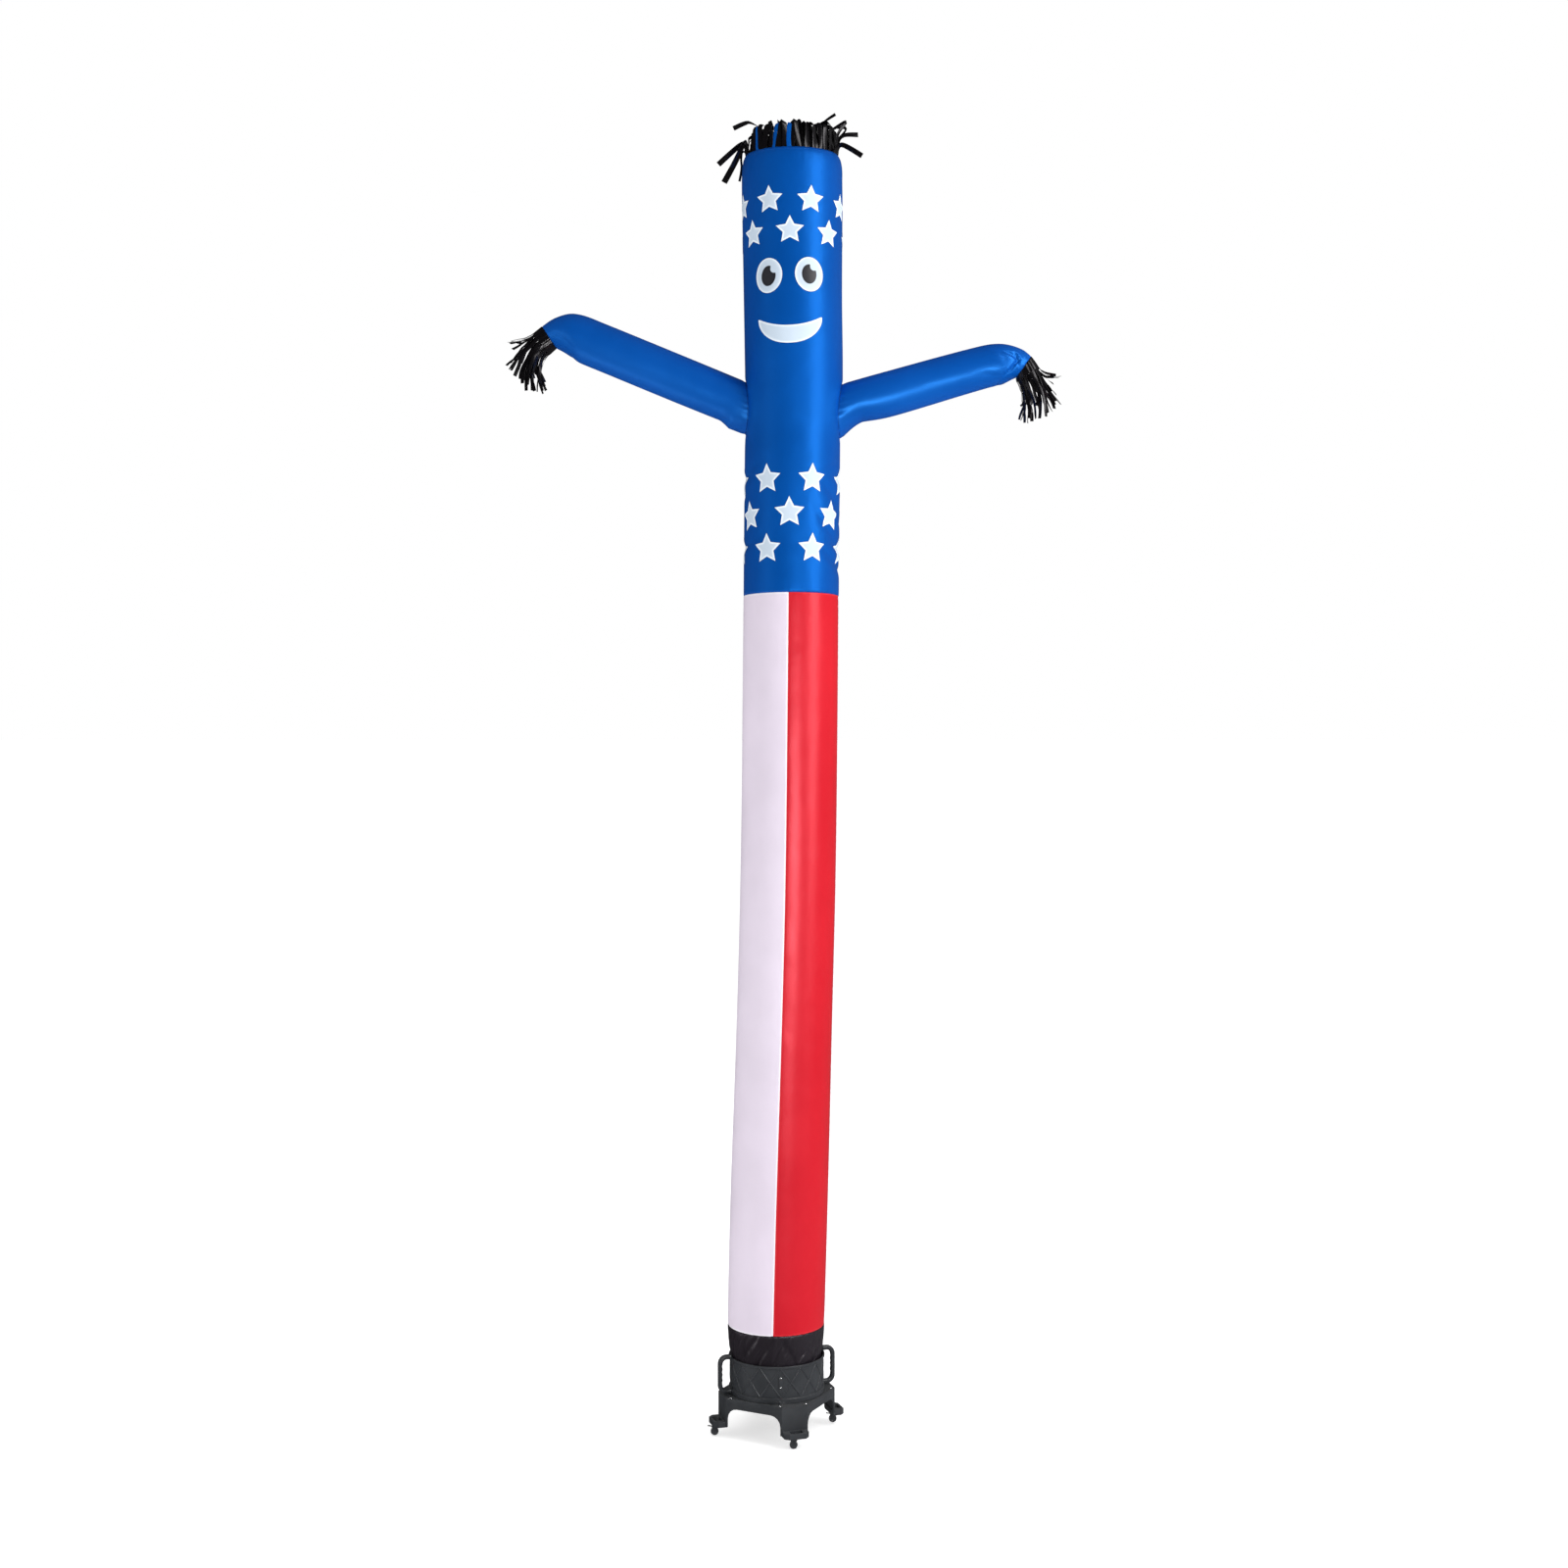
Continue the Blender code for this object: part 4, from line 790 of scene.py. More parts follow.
# ================================================================ leg panels
# Four long quarter panels of coated nylon, red and white in turn, sewn edge to edge into the lower
# half of the tube. The air draws them taut, so they pucker a little along each seam.
PANEL_TOP = 3.973
GAP = 0.0003  # between the edges of two pieces that are sewn together
WAIST_LIFT = 0.012  # how much higher the waist seam is at the front than in the middle
red_cloth = cloth_finish(
    "red_coated_nylon", (0.62, 0.0015, 0.012), (0.74, 0.02, 0.03), 0.33, 0.64, (1.0, 0.60, 0.68), metal=0.10,
)
white_cloth = cloth_finish("white_coated_nylon", (0.735, 0.655, 0.765), (0.86, 0.84, 0.90), 0.45, 0.35)


def waist_lift(turn, height):
    """How much higher the waist seam, and the cloth beside it, stands at the front than at the back."""
    return WAIST_LIFT * np.cos(turn) * groove(height - PANEL_TOP, 0.14)


def panel_relief(start, end):
    """Grooves and small puckers along a panel's four edges."""
    def relief(place, turn, height):
        aside = np.minimum(np.abs(turn - start), np.abs(end - turn)) * CLOTH_ROUND
        over = np.minimum(height - SLEEVE_TOP, PANEL_TOP - height)
        depth = 0.0016 * groove(aside, 0.004) + 0.0012 * groove(over, 0.006)
        depth += puckered(aside, 0.00055, 0.016, height * 196 + 1.8 * np.sin(height * 23) + turn * 3)
        depth += puckered(over, 0.0007, 0.025, turn * 40 + 2 * np.sin(turn * 7))
        depth += puckered(aside, 0.0007, 0.09, height * 3.1 + 5 * turn)
        return depth, np.maximum(groove(aside, 0.0065, 4), groove(over, 0.007, 4))
    return relief


heights = even(SLEEVE_TOP + GAP / 2, SLEEVE_TOP + 0.03, 0.004)
heights += even(SLEEVE_TOP + 0.04, PANEL_TOP - 0.04, 0.0125)
heights += even(PANEL_TOP - 0.03, PANEL_TOP - GAP / 2, 0.004)
panels = []
for k in range(4):
    start = math.radians(SEAM + 90.0 * k) + GAP / 2 / CLOTH_ROUND
    end = math.radians(SEAM + 90.0 * (k + 1)) - GAP / 2 / CLOTH_ROUND
    colour, finish = (("red", red_cloth), ("white", white_cloth))[k % 2]
    panel = inflated(
        f"{colour}_panel_{k // 2 + 1}", upright_spine(heights),
        {"Columns": 36, "Start": start, "Sweep": end - start, "Gather": 0.82, "Finish": finish},
        panel_relief(start, end), waist_lift,
    )
    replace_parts(panel, f"panel_{colour}_{k // 2 + 1}")
    panels.append(panel)


# ================================================================ seams
# Every seam is topstitched with a row of short stitches in thread of the cloth's colour, a few
# millimetres from its fold.
STITCH_IN = 0.0062  # distance of the stitches from the seam
STITCH = {"Pitch": 0.0075, "Length": 0.0052, "Thread": 0.00055}
tree, given, close = geometry_tree("topstitching", STITCH)
stitch_tree = tree
line = put(tree, "GeometryNodeMeshToCurve", {"Mesh": given["Geometry"]})
line = put(tree, "GeometryNodeResampleCurve", {"Curve": line, "Length": given["Pitch"]}, mode="LENGTH")
broad = maths(tree, "MULTIPLY", given["Thread"], 2.0)
form = combined(tree, given["Length"], broad, broad)
bead = put(tree, "GeometryNodeMeshUVSphere", {"Segments": 6, "Rings": 4, "Radius": 0.5})
bead = put(tree, "GeometryNodeTransform", {"Geometry": bead, "Scale": form})
way = put(tree, "FunctionNodeAxesToRotation", {
    "Primary Axis": put(tree, "GeometryNodeInputTangent"),
    "Secondary Axis": named(tree, "out", "FLOAT_VECTOR"),
}, primary_axis="X", secondary_axis="Z")
close(put(tree, "GeometryNodeInstanceOnPoints", {"Points": line, "Instance": bead, "Rotation": way}))


def thread_finish(name, colour):
    """Spun polyester thread."""
    material, tree, shader = new_finish(name)
    fluff = noise(tree, own_place(tree), 1500.0)
    tone = mixed(tree, fluff, (*colour, 1), (*[0.7 * c for c in colour], 1))
    feed(tree, shader, {"Base Color": tone, "Roughness": 0.6})
    return material


def on_tube(azimuth, height, proud=0.0):
    lean, radius = smooth(TUBE, height)
    return Vector((lean, 0.0, height)) + direction(azimuth) * (radius + proud)


def round_line(height, proud, lift=0.0):
    """A line round the tube, raised at the front by a lift and lowered as much at the back."""
    line = []
    for azimuth in np.linspace(0, 360, 121):
        raised = Vector((0.0, 0.0, lift * math.cos(math.radians(azimuth))))
        line.append((on_tube(azimuth, height, proud) + raised, direction(azimuth)))
    return line


def stitched(name, lines, thread, slot, **sizes):
    """Rows of stitches along lines of (point, direction outward)."""
    points, ways, edges = [], [], []
    for line in lines:
        edges += [(len(points) + i, len(points) + i + 1) for i in range(len(line) - 1)]
        points += [p for p, _ in line]
        ways += [w for _, w in line]
    mesh = points_mesh(name, points, edges, out=ways)
    return placed(name, grown(name, mesh, stitch_tree, {**STITCH, **sizes, "Finish": thread}), None)


aside = math.degrees(STITCH_IN / CLOTH_ROUND)
lines = []
for k in range(4):
    azimuth = SEAM + 90.0 * k + (-aside if k % 2 == 0 else aside)
    upwards = even(SLEEVE_TOP + 0.004, PANEL_TOP - 0.004, 0.05)
    lines.append([(on_tube(azimuth, z, -0.0004), direction(azimuth)) for z in upwards])
white_thread = thread_finish("white_thread", (0.80, 0.78, 0.84))
seam_thread = stitched("panel_stitches", lines, white_thread, "white_cloth")
black_thread = thread_finish("black_thread", (0.02, 0.018, 0.022))
stitched("sleeve_stitches", [round_line(SLEEVE_TOP - STITCH_IN, -0.0008)], black_thread, "black_cloth")
for k, panel in enumerate(panels):
    finish_sheet(panel, flat=(0.362, 3.465), held="stretched", with_pieces=[seam_thread] if k == 0 else [])


# ================================================================ upper body
# The blue upper half of the tube, one wide piece of coated nylon closed by a seam down the back. It
# is open at the top for the air, and buckles where the tube sways.
TUBE_TOP = 6.050
HOLE_IN = 0.027  # how far inside an arm's tube the body's cloth is cut away
ARM_ROUND = 0.107  # turns an angle into distance along an arm's cloth
SHOULDER_PULL = 0.013
BUCKLES = (  # azimuth, height, slope, half length, half width, depth
    (104, 4.526, 0, 0.24, 0.022, 0.015), (-104, 4.528, 0, 0.22, 0.020, 0.011),
    (100, 4.193, -6, 0.24, 0.024, 0.017), (-104, 4.198, 4, 0.22, 0.022, 0.012),
    (96, 4.085, -24, 0.15, 0.022, 0.014), (62, 4.430, -38, 0.15, 0.030, 0.010),
    (178, 4.370, 8, 0.24, 0.036, 0.009), (-98, 4.450, -10, 0.13, 0.016, 0.005),
    (56, 4.145, -38, 0.14, 0.026, 0.009), (46, 4.300, -46, 0.15, 0.030, 0.008),
    (-60, 4.560, 28, 0.10, 0.026, 0.004), (-52, 4.230, 22, 0.10, 0.026, 0.004),
    (60, 4.580, 24, 0.12, 0.022, 0.006), (84, 4.330, -30, 0.12, 0.018, 0.007),
    (150, 4.150, -18, 0.16, 0.026, 0.006), (-150, 4.480, 20, 0.16, 0.028, 0.006),
)
# An arm's shape is (reach, height, tilt, radius); its armpit (drop, root, fade); its waist (depth, reach);
# its cuff the way to the cut end, aside and up, and the radius there; its spread widens the hand's strips.
ARMS = (
    {
        "name": "left", "side": -1, "start": 0.085,
        "shape": (
            (0.050, 4.834, 22.2, 0.107), (0.450, 4.997, 22.2, 0.109), (0.860, 5.165, 21.0, 0.1085),
            (0.958, 5.202, 0.0, 0.108), (1.019, 5.204, -18.0, 0.091), (1.078, 5.198, -34.0, 0.062),
        ),
        "armpit": (0.020, 0.180, 0.048), "waist": (0.0, 0.3), "cuff": (-0.039, -0.032, 0.063),
        "spread": 1.02,
    },
    {
        "name": "right", "side": 1, "start": 0.245,
        "shape": (
            (0.150, 4.823, 15.8, 0.107), (0.550, 4.936, 15.8, 0.1065), (0.980, 5.058, 14.0, 0.100),
            (1.063, 5.071, 0.0, 0.097), (1.133, 5.069, -20.0, 0.079), (1.171, 5.058, -35.3, 0.062),
        ),
        "armpit": (0.043, 0.272, 0.112), "waist": (0.017, 0.345), "cuff": (0.022, -0.038, 0.063),
        "spread": 0.82,
    },
)
blue_cloth = cloth_finish(
    "blue_coated_nylon", (0.0002, 0.085, 0.45), (0.001, 0.095, 0.50), 0.42, 0.70, (0.10, 0.66, 1.0),
    ripple=1.0, metal=0.34,
)


def underarm(arm, low, reach):
    """How far the gusset stands out under an arm, less the waist beside it. Low is 1 at the very bottom."""
    drop, root, fade = arm["armpit"]
    slim, middle = arm["waist"]
    near = np.clip(1 - np.clip(reach - root, 0, None) / fade, 0, None)
    return low**1.5 * (drop * near**1.2 - slim * groove(reach - middle, 0.10))


def outside_arm(place, arm):
    """How far each place lies outside an arm's tube, and its angle round the arm."""
    side, shape = arm["side"], arm["shape"]
    reaches = np.linspace(shape[0][0], shape[-1][0], 120)
    radii = [smooth(shape, reach)[2] for reach in reaches]
    root, height, tilt, _ = shape[0]
    tilt = math.radians(tilt)
    x, z = place[:, 0] * side - root, place[:, 2] - height
    along = np.clip(x * math.cos(tilt) + z * math.sin(tilt), 0, None) * math.cos(tilt) + root
    up = z * math.cos(tilt) - x * math.sin(tilt)
    away = np.hypot(up, place[:, 1])
    low = np.clip(-up / np.maximum(away, 1e-6), 0, None)
    distance = away - np.interp(along, reaches, radii) - underarm(arm, low, along)
    return np.where(place[:, 0] * side > 0.03, distance, 1.0), np.arctan2(up, place[:, 1])


def shoulder_pull(place):
    """How far the air in an arm draws the body's cloth out beside the shoulder seam, front and back."""
    return SHOULDER_PULL * np.clip(np.abs(place[:, 1]) / ARM_ROUND, 0, 1) ** 2


def body_relief(place, turn, height):
    over, rim = height - PANEL_TOP, TUBE_TOP - height
    back = np.abs((np.degrees(turn) - SEAM) % 360 - 180) * math.pi / 180 * CLOTH_ROUND
    depth = creased(turn, height, BUCKLES) + 0.0012 * groove(over, 0.006)
    depth += puckered(over, 0.0007, 0.025, turn * 40 + 2 * np.sin(turn * 7))
    depth += puckered(rim, 0.0008, 0.028, turn * 37 + 2.2 * np.sin(turn * 6))
    depth += 0.0014 * groove(back, 0.004) + puckered(back, 0.0005, 0.016, height * 190)
    for arm in ARMS:
        gap, round_arm = outside_arm(place, arm)
        near = np.clip(gap, 0, None)
        depth += 0.0030 * groove(near, 0.008) - shoulder_pull(place) * groove(near, 0.045)
        depth += puckered(near, 0.0013, 0.026, round_arm * 17 + 2 * np.sin(round_arm * 4))
    return depth, np.maximum.reduce([groove(over, 0.007, 4), groove(back, 0.006, 4), groove(rim, 0.010, 4)])


body = inflated(
    "blue_body", upright_spine(even(PANEL_TOP + GAP / 2, TUBE_TOP, 0.0098)),
    {"Columns": 144, "Start": math.radians(SEAM + 180), "Finish": blue_cloth},
    body_relief, waist_lift,
)
shape = bmesh.new()
shape.from_mesh(body.data)
corners = np.array([v.co for v in shape.verts])
inside = np.min([outside_arm(corners, arm)[0] for arm in ARMS], axis=0) < -HOLE_IN
bmesh.ops.delete(shape, geom=[v for v, gone in zip(shape.verts, inside) if gone], context="VERTS")
shape.to_mesh(body.data)
shape.free()
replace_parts(body, "upper_body")
body_thread = stitched("body_stitches", [
    round_line(PANEL_TOP + STITCH_IN, -0.0008, WAIST_LIFT), round_line(TUBE_TOP - 0.010, -0.0006),
], thread_finish("blue_thread", (0.01, 0.10, 0.55)), "blue_cloth")


# ================================================================ stars and face
# White stars, eyes and a smile cut from coated nylon and sewn flat on the blue cloth, with black
# pupils on the eyes. Two rings of seven stars go round above the face and three of six below the arms.
PATCH = 0.0005  # thickness of the cloth that the patches are cut from
BINDING = 0.0018  # how far the bound edge reaches past a patch's outline
LOW, PROUD = 0.0010, 0.0017  # how far the outside of a patch stands off the blue cloth
STAR_RINGS = (  # height at the front, shift in pitches, size, tilt at the sides, number of stars
    (5.806, 0.5, 0.067, -4.0, 7), (5.661, 0.0, 0.067, -4.0, 7),
    (4.5165, 0.5, 0.073, -2.5, 6), (4.356, 0.0, 0.074, -9.0, 6), (4.192, 0.5, 0.073, -2.5, 6),
)
FACE = -5.6  # azimuth of the face's middle
EYE = 23.6  # how far round each eye is from it
EYE_WHITE, PUPIL = (0.068, 0.0805), (0.034, 0.044)  # half the width and half the height
BITE_X, BITE_Y, BITE = 0.0225, 0.0315, 0.017  # the round bite out of a pupil: middle, radius
SMILE_WIDE, SMILE_DEEP, SMILE_ROUND = 0.157, 0.082, 2.6

tree, given, close = geometry_tree("sewn patches", {
    "Round": CLOTH_ROUND, "Lean": 0.0755, "Lift": 0.0004,
    "Tube": "NodeSocketObject", "Patch": "NodeSocketObject",
})
patch_tree = tree
cutting, cloth_below = (
    also(put(tree, "GeometryNodeObjectInfo", {"Object": given[label]}), "Geometry")
    for label in ("Patch", "Tube")
)
laid = put(tree, "GeometryNodeInstanceOnPoints", {
    "Points": given["Geometry"], "Instance": cutting, "Scale": named(tree, "size"),
    "Rotation": combined(tree, z=named(tree, "tilt")),
})
laid = put(tree, "GeometryNodeRealizeInstances", {0: laid})
flat_at = put(tree, "GeometryNodeInputPosition")
laid = stored(tree, laid, "UVMap", flat_at, "FLOAT2", "CORNER")
flat = split(tree, flat_at)
angle = maths(tree, "DIVIDE", also(flat, "X"), given["Round"])
forward = maths(tree, "MULTIPLY", maths(tree, "COSINE", angle), -1.0)
outward = combined(tree, maths(tree, "SINE", angle), forward)
axis = combined(tree, given["Lean"], z=also(flat, "Y"))
hit = also(put(tree, "GeometryNodeRaycast", {
    "Target Geometry": cloth_below, "Source Position": added(tree, axis, scaled(tree, outward, 0.5)),
    "Ray Direction": scaled(tree, outward, -1.0), "Ray Length": 0.5,
}), "Hit Position")
spot = added(tree, hit, scaled(tree, outward, given["Lift"]))
close(put(tree, "GeometryNodeSetPosition", {"Geometry": laid, "Position": spot}))


def pattern(name, outline, rings, binding):
    """A flat patch filled from its middle out to an outline, with a bound edge, kept out of sight."""
    outline = np.array(outline)
    ahead = np.roll(outline, -1, axis=0) - outline
    away = outline / np.linalg.norm(outline, axis=1)[:, None]
    steps = [outline * k / rings for k in range(1, rings + 1)]
    steps += [outline + away * 0.0003, outline + away * binding]
    points = np.vstack([np.zeros((1, 2)), *steps])
    along = ((points[:, None] - outline[None]) * ahead[None]).sum(2) / (ahead**2).sum(1)[None]
    foot = outline[None] + ahead[None] * np.clip(along, 0, 1)[..., None]
    gap = np.linalg.norm(points[:, None] - foot, axis=2).min(1)
    count = len(outline)
    faces = [(0, 1 + i, 1 + (i + 1) % count) for i in range(count)]
    for ring in range(len(steps) - 1):
        low, high = 1 + ring * count, 1 + (ring + 1) * count
        faces += [(low + i, high + i, high + (i + 1) % count, low + (i + 1) % count) for i in range(count)]
    mesh = bpy.data.meshes.new(name)
    mesh.from_pydata([(x, y, 0.0) for x, y in points], [], faces)
    area = outline[:, 0] * np.roll(outline[:, 1], -1) - outline[:, 1] * np.roll(outline[:, 0], -1)
    if area.sum() < 0:
        mesh.flip_normals()
    marked(mesh, seam=groove(gap, 0.0075, 4), hem=np.arange(len(points)) > rings * count)
    return bpy.data.objects.new(name, mesh)


def star_outline(size, steps=6):
    """One point up, with the inner corners at half the reach of the points."""
    tips = []
    for k in range(10):
        a, reach = math.radians(36 * k), (1.0, 0.5)[k % 2]
        tips.append((reach * math.sin(a), reach * math.cos(a)))
    outline = []
    for tip, after in zip(np.array(tips), np.roll(tips, -1, axis=0)):
        outline += [(tip + (after - tip) * s / steps) * size for s in range(steps)]
    return outline


def oval(wide, high, count):
    """An outline that reaches this far aside and up."""
    angles = [2 * math.pi * k / count for k in range(count)]
    return [(wide * math.cos(a), high * math.sin(a)) for a in angles]


def sewn_on(name, outline, rings, spots, finish, lift=LOW, binding=BINDING):
    """Patches at (azimuth, height, size, tilt in degrees), laid on the blue cloth."""
    cutting = pattern(f"{name}_pattern", outline, rings, binding)
    azimuths, heights, sizes, tilts = zip(*spots)
    mesh = points_mesh(
        f"{name}_places", [(math.radians(a) * CLOTH_ROUND, z, 0.0) for a, z in zip(azimuths, heights)],
        size=sizes, tilt=np.radians(tilts),
    )
    mesh = grown(name, mesh, patch_tree, {"Tube": body, "Patch": cutting, "Lift": lift, "Finish": finish})
    ob = placed(name, mesh, None)
    thickened(ob, PATCH)
    bpy.data.objects.remove(cutting)
    return evaluated(ob)


star_cloth = cloth_finish(
    "white_star_nylon", (0.56, 0.66, 0.77), (0.80, 0.87, 0.94), 0.42, 0.40, hem=(0.002, 0.018, 0.12),
)
pupil_cloth = cloth_finish("black_pupil_nylon", (0.020, 0.020, 0.026), (0.014, 0.014, 0.020), 0.40, 0.45)
for number, (height, shift, size, tilt, count) in enumerate(STAR_RINGS, 1):
    above_face = count == 7
    middle, pitch = (SEAM, 48.2) if above_face else (SEAM - 0.6, 56.0)
    spots = []
    for k in range(count):
        azimuth = middle + pitch * (k - 3 + shift)
        if abs(azimuth - SEAM) > 160.0:  # the star nearest the back seam is centred on it
            azimuth = SEAM + 180.0
        a = math.radians(azimuth)
        back = 1 - math.cos(a)
        nod = 0.018 * back + 0.003 * math.sin(a) if above_face else 0.026 * min(back, 0.5)
        spots.append((azimuth, height - nod, 1.0, tilt * math.sin(a)))
    sewn_on(f"stars_{number}", star_outline(size), 6, spots, star_cloth)

sewn_on(
    "eye_whites", oval(*EYE_WHITE, 56), 9,
    [(FACE - EYE, 5.455, 1.0, -6.0), (FACE + EYE + 1.5, 5.458, 0.985, 9.0)], star_cloth,
)
pupil = []
for x, y in oval(*PUPIL, 72):
    reach = math.hypot(x, y)
    ux, uy = x / reach, y / reach
    along = BITE_X * ux + BITE_Y * uy
    off = BITE**2 - (BITE_X**2 + BITE_Y**2 - along**2)
    if off > 0 and along > 0:
        reach = min(reach, along - math.sqrt(off))
    pupil.append((ux * reach, uy * reach))
sewn_on(
    "pupils", pupil, 6, [(FACE - EYE + 0.2, 5.453, 1.05, -7.0), (FACE + EYE + 1.2, 5.459, 1.0, 4.0)],
    pupil_cloth, PROUD, 0.0008,
)
upper, lower = [], []
for i in range(49):
    s = math.sin(math.pi / 2 * (i / 24 - 1))
    top = 0.078 - 0.040 * (1 - s * s) - 0.004 * abs(s) ** 30
    deep = SMILE_DEEP * max(0.0, 1 - abs(s) ** SMILE_ROUND) ** (1 / SMILE_ROUND)
    upper.append((SMILE_WIDE * s, top))
    lower.append((SMILE_WIDE * s, top - deep))
sewn_on("smile", lower[:-1] + upper[:0:-1], 9, [(FACE + 2.0, 5.184, 1.0, 1.6)], star_cloth)
evaluated(body)


# ================================================================ arms
# Two blue tubes of the same nylon, sewn into the body at the shoulders and open to its air. Each has
# a gusset in its armpit and is drawn in at the wrist, which buckles where the tube turns down.
WRIST_FOLDS = {  # angle from the top, reach, slope, half length, half width, depth
    "left": (
        (95, 0.990, 62, 0.07, 0.016, 0.0045), (60, 1.030, 40, 0.06, 0.012, 0.003),
        (140, 1.035, -50, 0.06, 0.012, 0.004), (178, 0.975, 0, 0.09, 0.024, 0.004),
        (250, 1.000, 50, 0.08, 0.016, 0.005),
    ),
    "right": (
        (66, 1.104, 66, 0.050, 0.0075, 0.0120), (98, 1.122, -30, 0.040, 0.0080, 0.0140),
        (76, 1.126, 30, 0.040, 0.0070, 0.0110), (122, 1.098, -58, 0.046, 0.0090, 0.0090),
        (66, 1.062, 24, 0.050, 0.012, 0.0040), (176, 1.040, 0, 0.08, 0.024, 0.004),
        (48, 1.140, 14, 0.040, 0.009, 0.0045), (262, 1.100, 55, 0.070, 0.014, 0.005),
        (120, 0.990, 70, 0.07, 0.020, 0.003),
    ),
}
arm_cloth = cloth_finish(
    "blue_arm_nylon", (0.0002, 0.088, 0.48), (0.001, 0.095, 0.52), 0.36, 0.9, (0.16, 0.74, 1.0), 1.0, 0.26,
)
shoulder_thread = thread_finish("navy_thread", (0.0, 0.012, 0.10))


def arm_axes(arm, reach):
    """Middle, radius, measure, and the directions to the top and to the front of a ring across an arm."""
    height, tilt, radius = smooth(arm["shape"], reach)
    t, side = math.radians(tilt), arm["side"]
    top = (-math.sin(t) * side, 0.0, math.cos(t))
    return (reach * side, 0.0, height), radius, reach, top, (0.0, -float(side), 0.0)


def tube_at(height):
    """Lean and radius of the body's tube at each height, straight between the rows of its table."""
    heights, leans, radii = zip(*TUBE)
    return np.interp(height, heights, leans), np.interp(height, heights, radii)


def arm_relief(arm):
    reaches, _, _, radii = zip(*arm["shape"])

    def relief(place, turn, reach):
        radius = np.interp(reach, reaches, radii)
        depth = creased(turn, reach, WRIST_FOLDS[arm["name"]], 0.5, 0.5, radius)
        depth -= underarm(arm, np.clip(-np.cos(turn), 0, None), reach)
        lean, wide = tube_at(place[:, 2])
        near = np.clip(np.hypot(place[:, 0] - lean, place[:, 1]) - wide - shoulder_pull(place), 0, None)
        end = reaches[-1] - reach
        depth += 0.0028 * groove(near, 0.008) + 0.0015 * groove(end, 0.004)
        depth += puckered(near, 0.0015, 0.032, turn * 17 + 2 * np.sin(turn * 4))
        depth += puckered(end, 0.0009, 0.022, turn * 16 + 2 * np.sin(turn * 3))
        return depth, np.maximum(groove(near, 0.008, 4), groove(end, 0.008, 4))
    return relief


def slid(at, arm, proud):
    """Places slid outward along an arm until they are this proud of the body's tube, or further out."""
    side, tilt = arm["side"], math.radians(arm["shape"][0][2])
    lean, radius = tube_at(at[:, 2])
    edge = lean + side * np.sqrt(np.clip((radius + proud) ** 2 - at[:, 1] ** 2, 0, None))
    slide = np.clip((edge - at[:, 0]) * side / math.cos(tilt), 0, None)
    return at + slide[:, None] * np.array((math.cos(tilt) * side, 0.0, math.sin(tilt)))


def shoulder_line(arm, middle, radius, reach, top, front):
    """The line of the stitches round an arm's root."""
    line = []
    for a in np.linspace(0, 2 * math.pi, 121):
        way = Vector(top) * math.cos(a) + Vector(front) * math.sin(a)
        drop = underarm(arm, max(0.0, -math.cos(a)), reach + 0.03)
        spot = np.array([Vector(middle) + way * float(radius + drop - 0.002)])
        line.append((Vector(slid(spot, arm, shoulder_pull(spot)[0] - 0.001)[0]), way))
    return line


for arm in ARMS:
    wrist = arm["shape"][-1][0]
    reaches = even(arm["start"], wrist - 0.075, 0.0105) + even(wrist - 0.070, wrist, 0.0042)
    spine = [arm_axes(arm, reach) for reach in reaches]
    piece = inflated(
        f"blue_arm_{arm['name']}", spine,
        {"Columns": 84, "Start": math.pi, "Round": ARM_ROUND, "Finish": arm_cloth},
        arm_relief(arm),
    )
    # The root is cut to the curve of the tube, just under the body's cloth.
    cut_back = slid(column(piece.data.vertices, "co", 3), arm, -0.015)
    piece.data.vertices.foreach_set("co", cut_back.ravel())
    joined(piece.data, 0.0015)
    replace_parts(piece, f"arm_{arm['name']}")
    sewing = stitched(
        f"shoulder_stitches_{arm['name']}", [shoulder_line(arm, *spine[0])], shoulder_thread, "blue_cloth",
        Pitch=0.0062, Thread=0.0011,
    )
    finish_sheet(piece, flat=(0.68, wrist - arm["start"] + 0.05), held="stretched", with_pieces=[sewing])


# ================================================================ cuffs and hands
# At each wrist a short black cuff of thinner coated nylon, sewn to the arm. Its end is cut into
# narrow strips, which the air lifts a little before they fall.
CUFF_ROUND, CUFF_LONG = 0.062, 0.05
CUFF_STEPS = 16
HANG = (  # angle round the cuff from its outer top, then the tip from the root: out, down, towards the front
    (0.0, 0.092, 0.030, 0.020), (22.5, 0.104, 0.052, 0.100), (45.0, 0.121, 0.156, 0.075),
    (67.5, 0.100, 0.185, 0.060), (90.0, 0.075, 0.205, 0.050), (112.5, 0.062, 0.215, 0.040),
    (135.0, 0.045, 0.200, 0.028), (157.5, 0.020, 0.190, 0.014), (180.0, 0.008, 0.180, 0.000),
)
OUTER_STRIPS, INNER_STRIPS = 16, 20
SET_IN = 0.08  # share of a hand's strip that lies along the cuff


def cuff_axes(arm, t):
    """Middle, the way up, the way along, and the radius across a cuff: 0 is its seam and 1 its cut end."""
    reach, height, tilt, radius = arm["shape"][-1]
    dx, dz, end_radius = arm["cuff"]
    side = arm["side"]
    turn = math.radians(tilt + (math.degrees(math.atan2(dz, dx * side)) - tilt) * t)
    up = Vector((-math.sin(turn) * side, 0.0, math.cos(turn)))
    along = Vector((math.cos(turn) * side, 0.0, math.sin(turn)))
    middle = Vector((reach * side + dx * t, 0.0, height + dz * t))
    return middle, up, along, radius + (end_radius - radius) * t


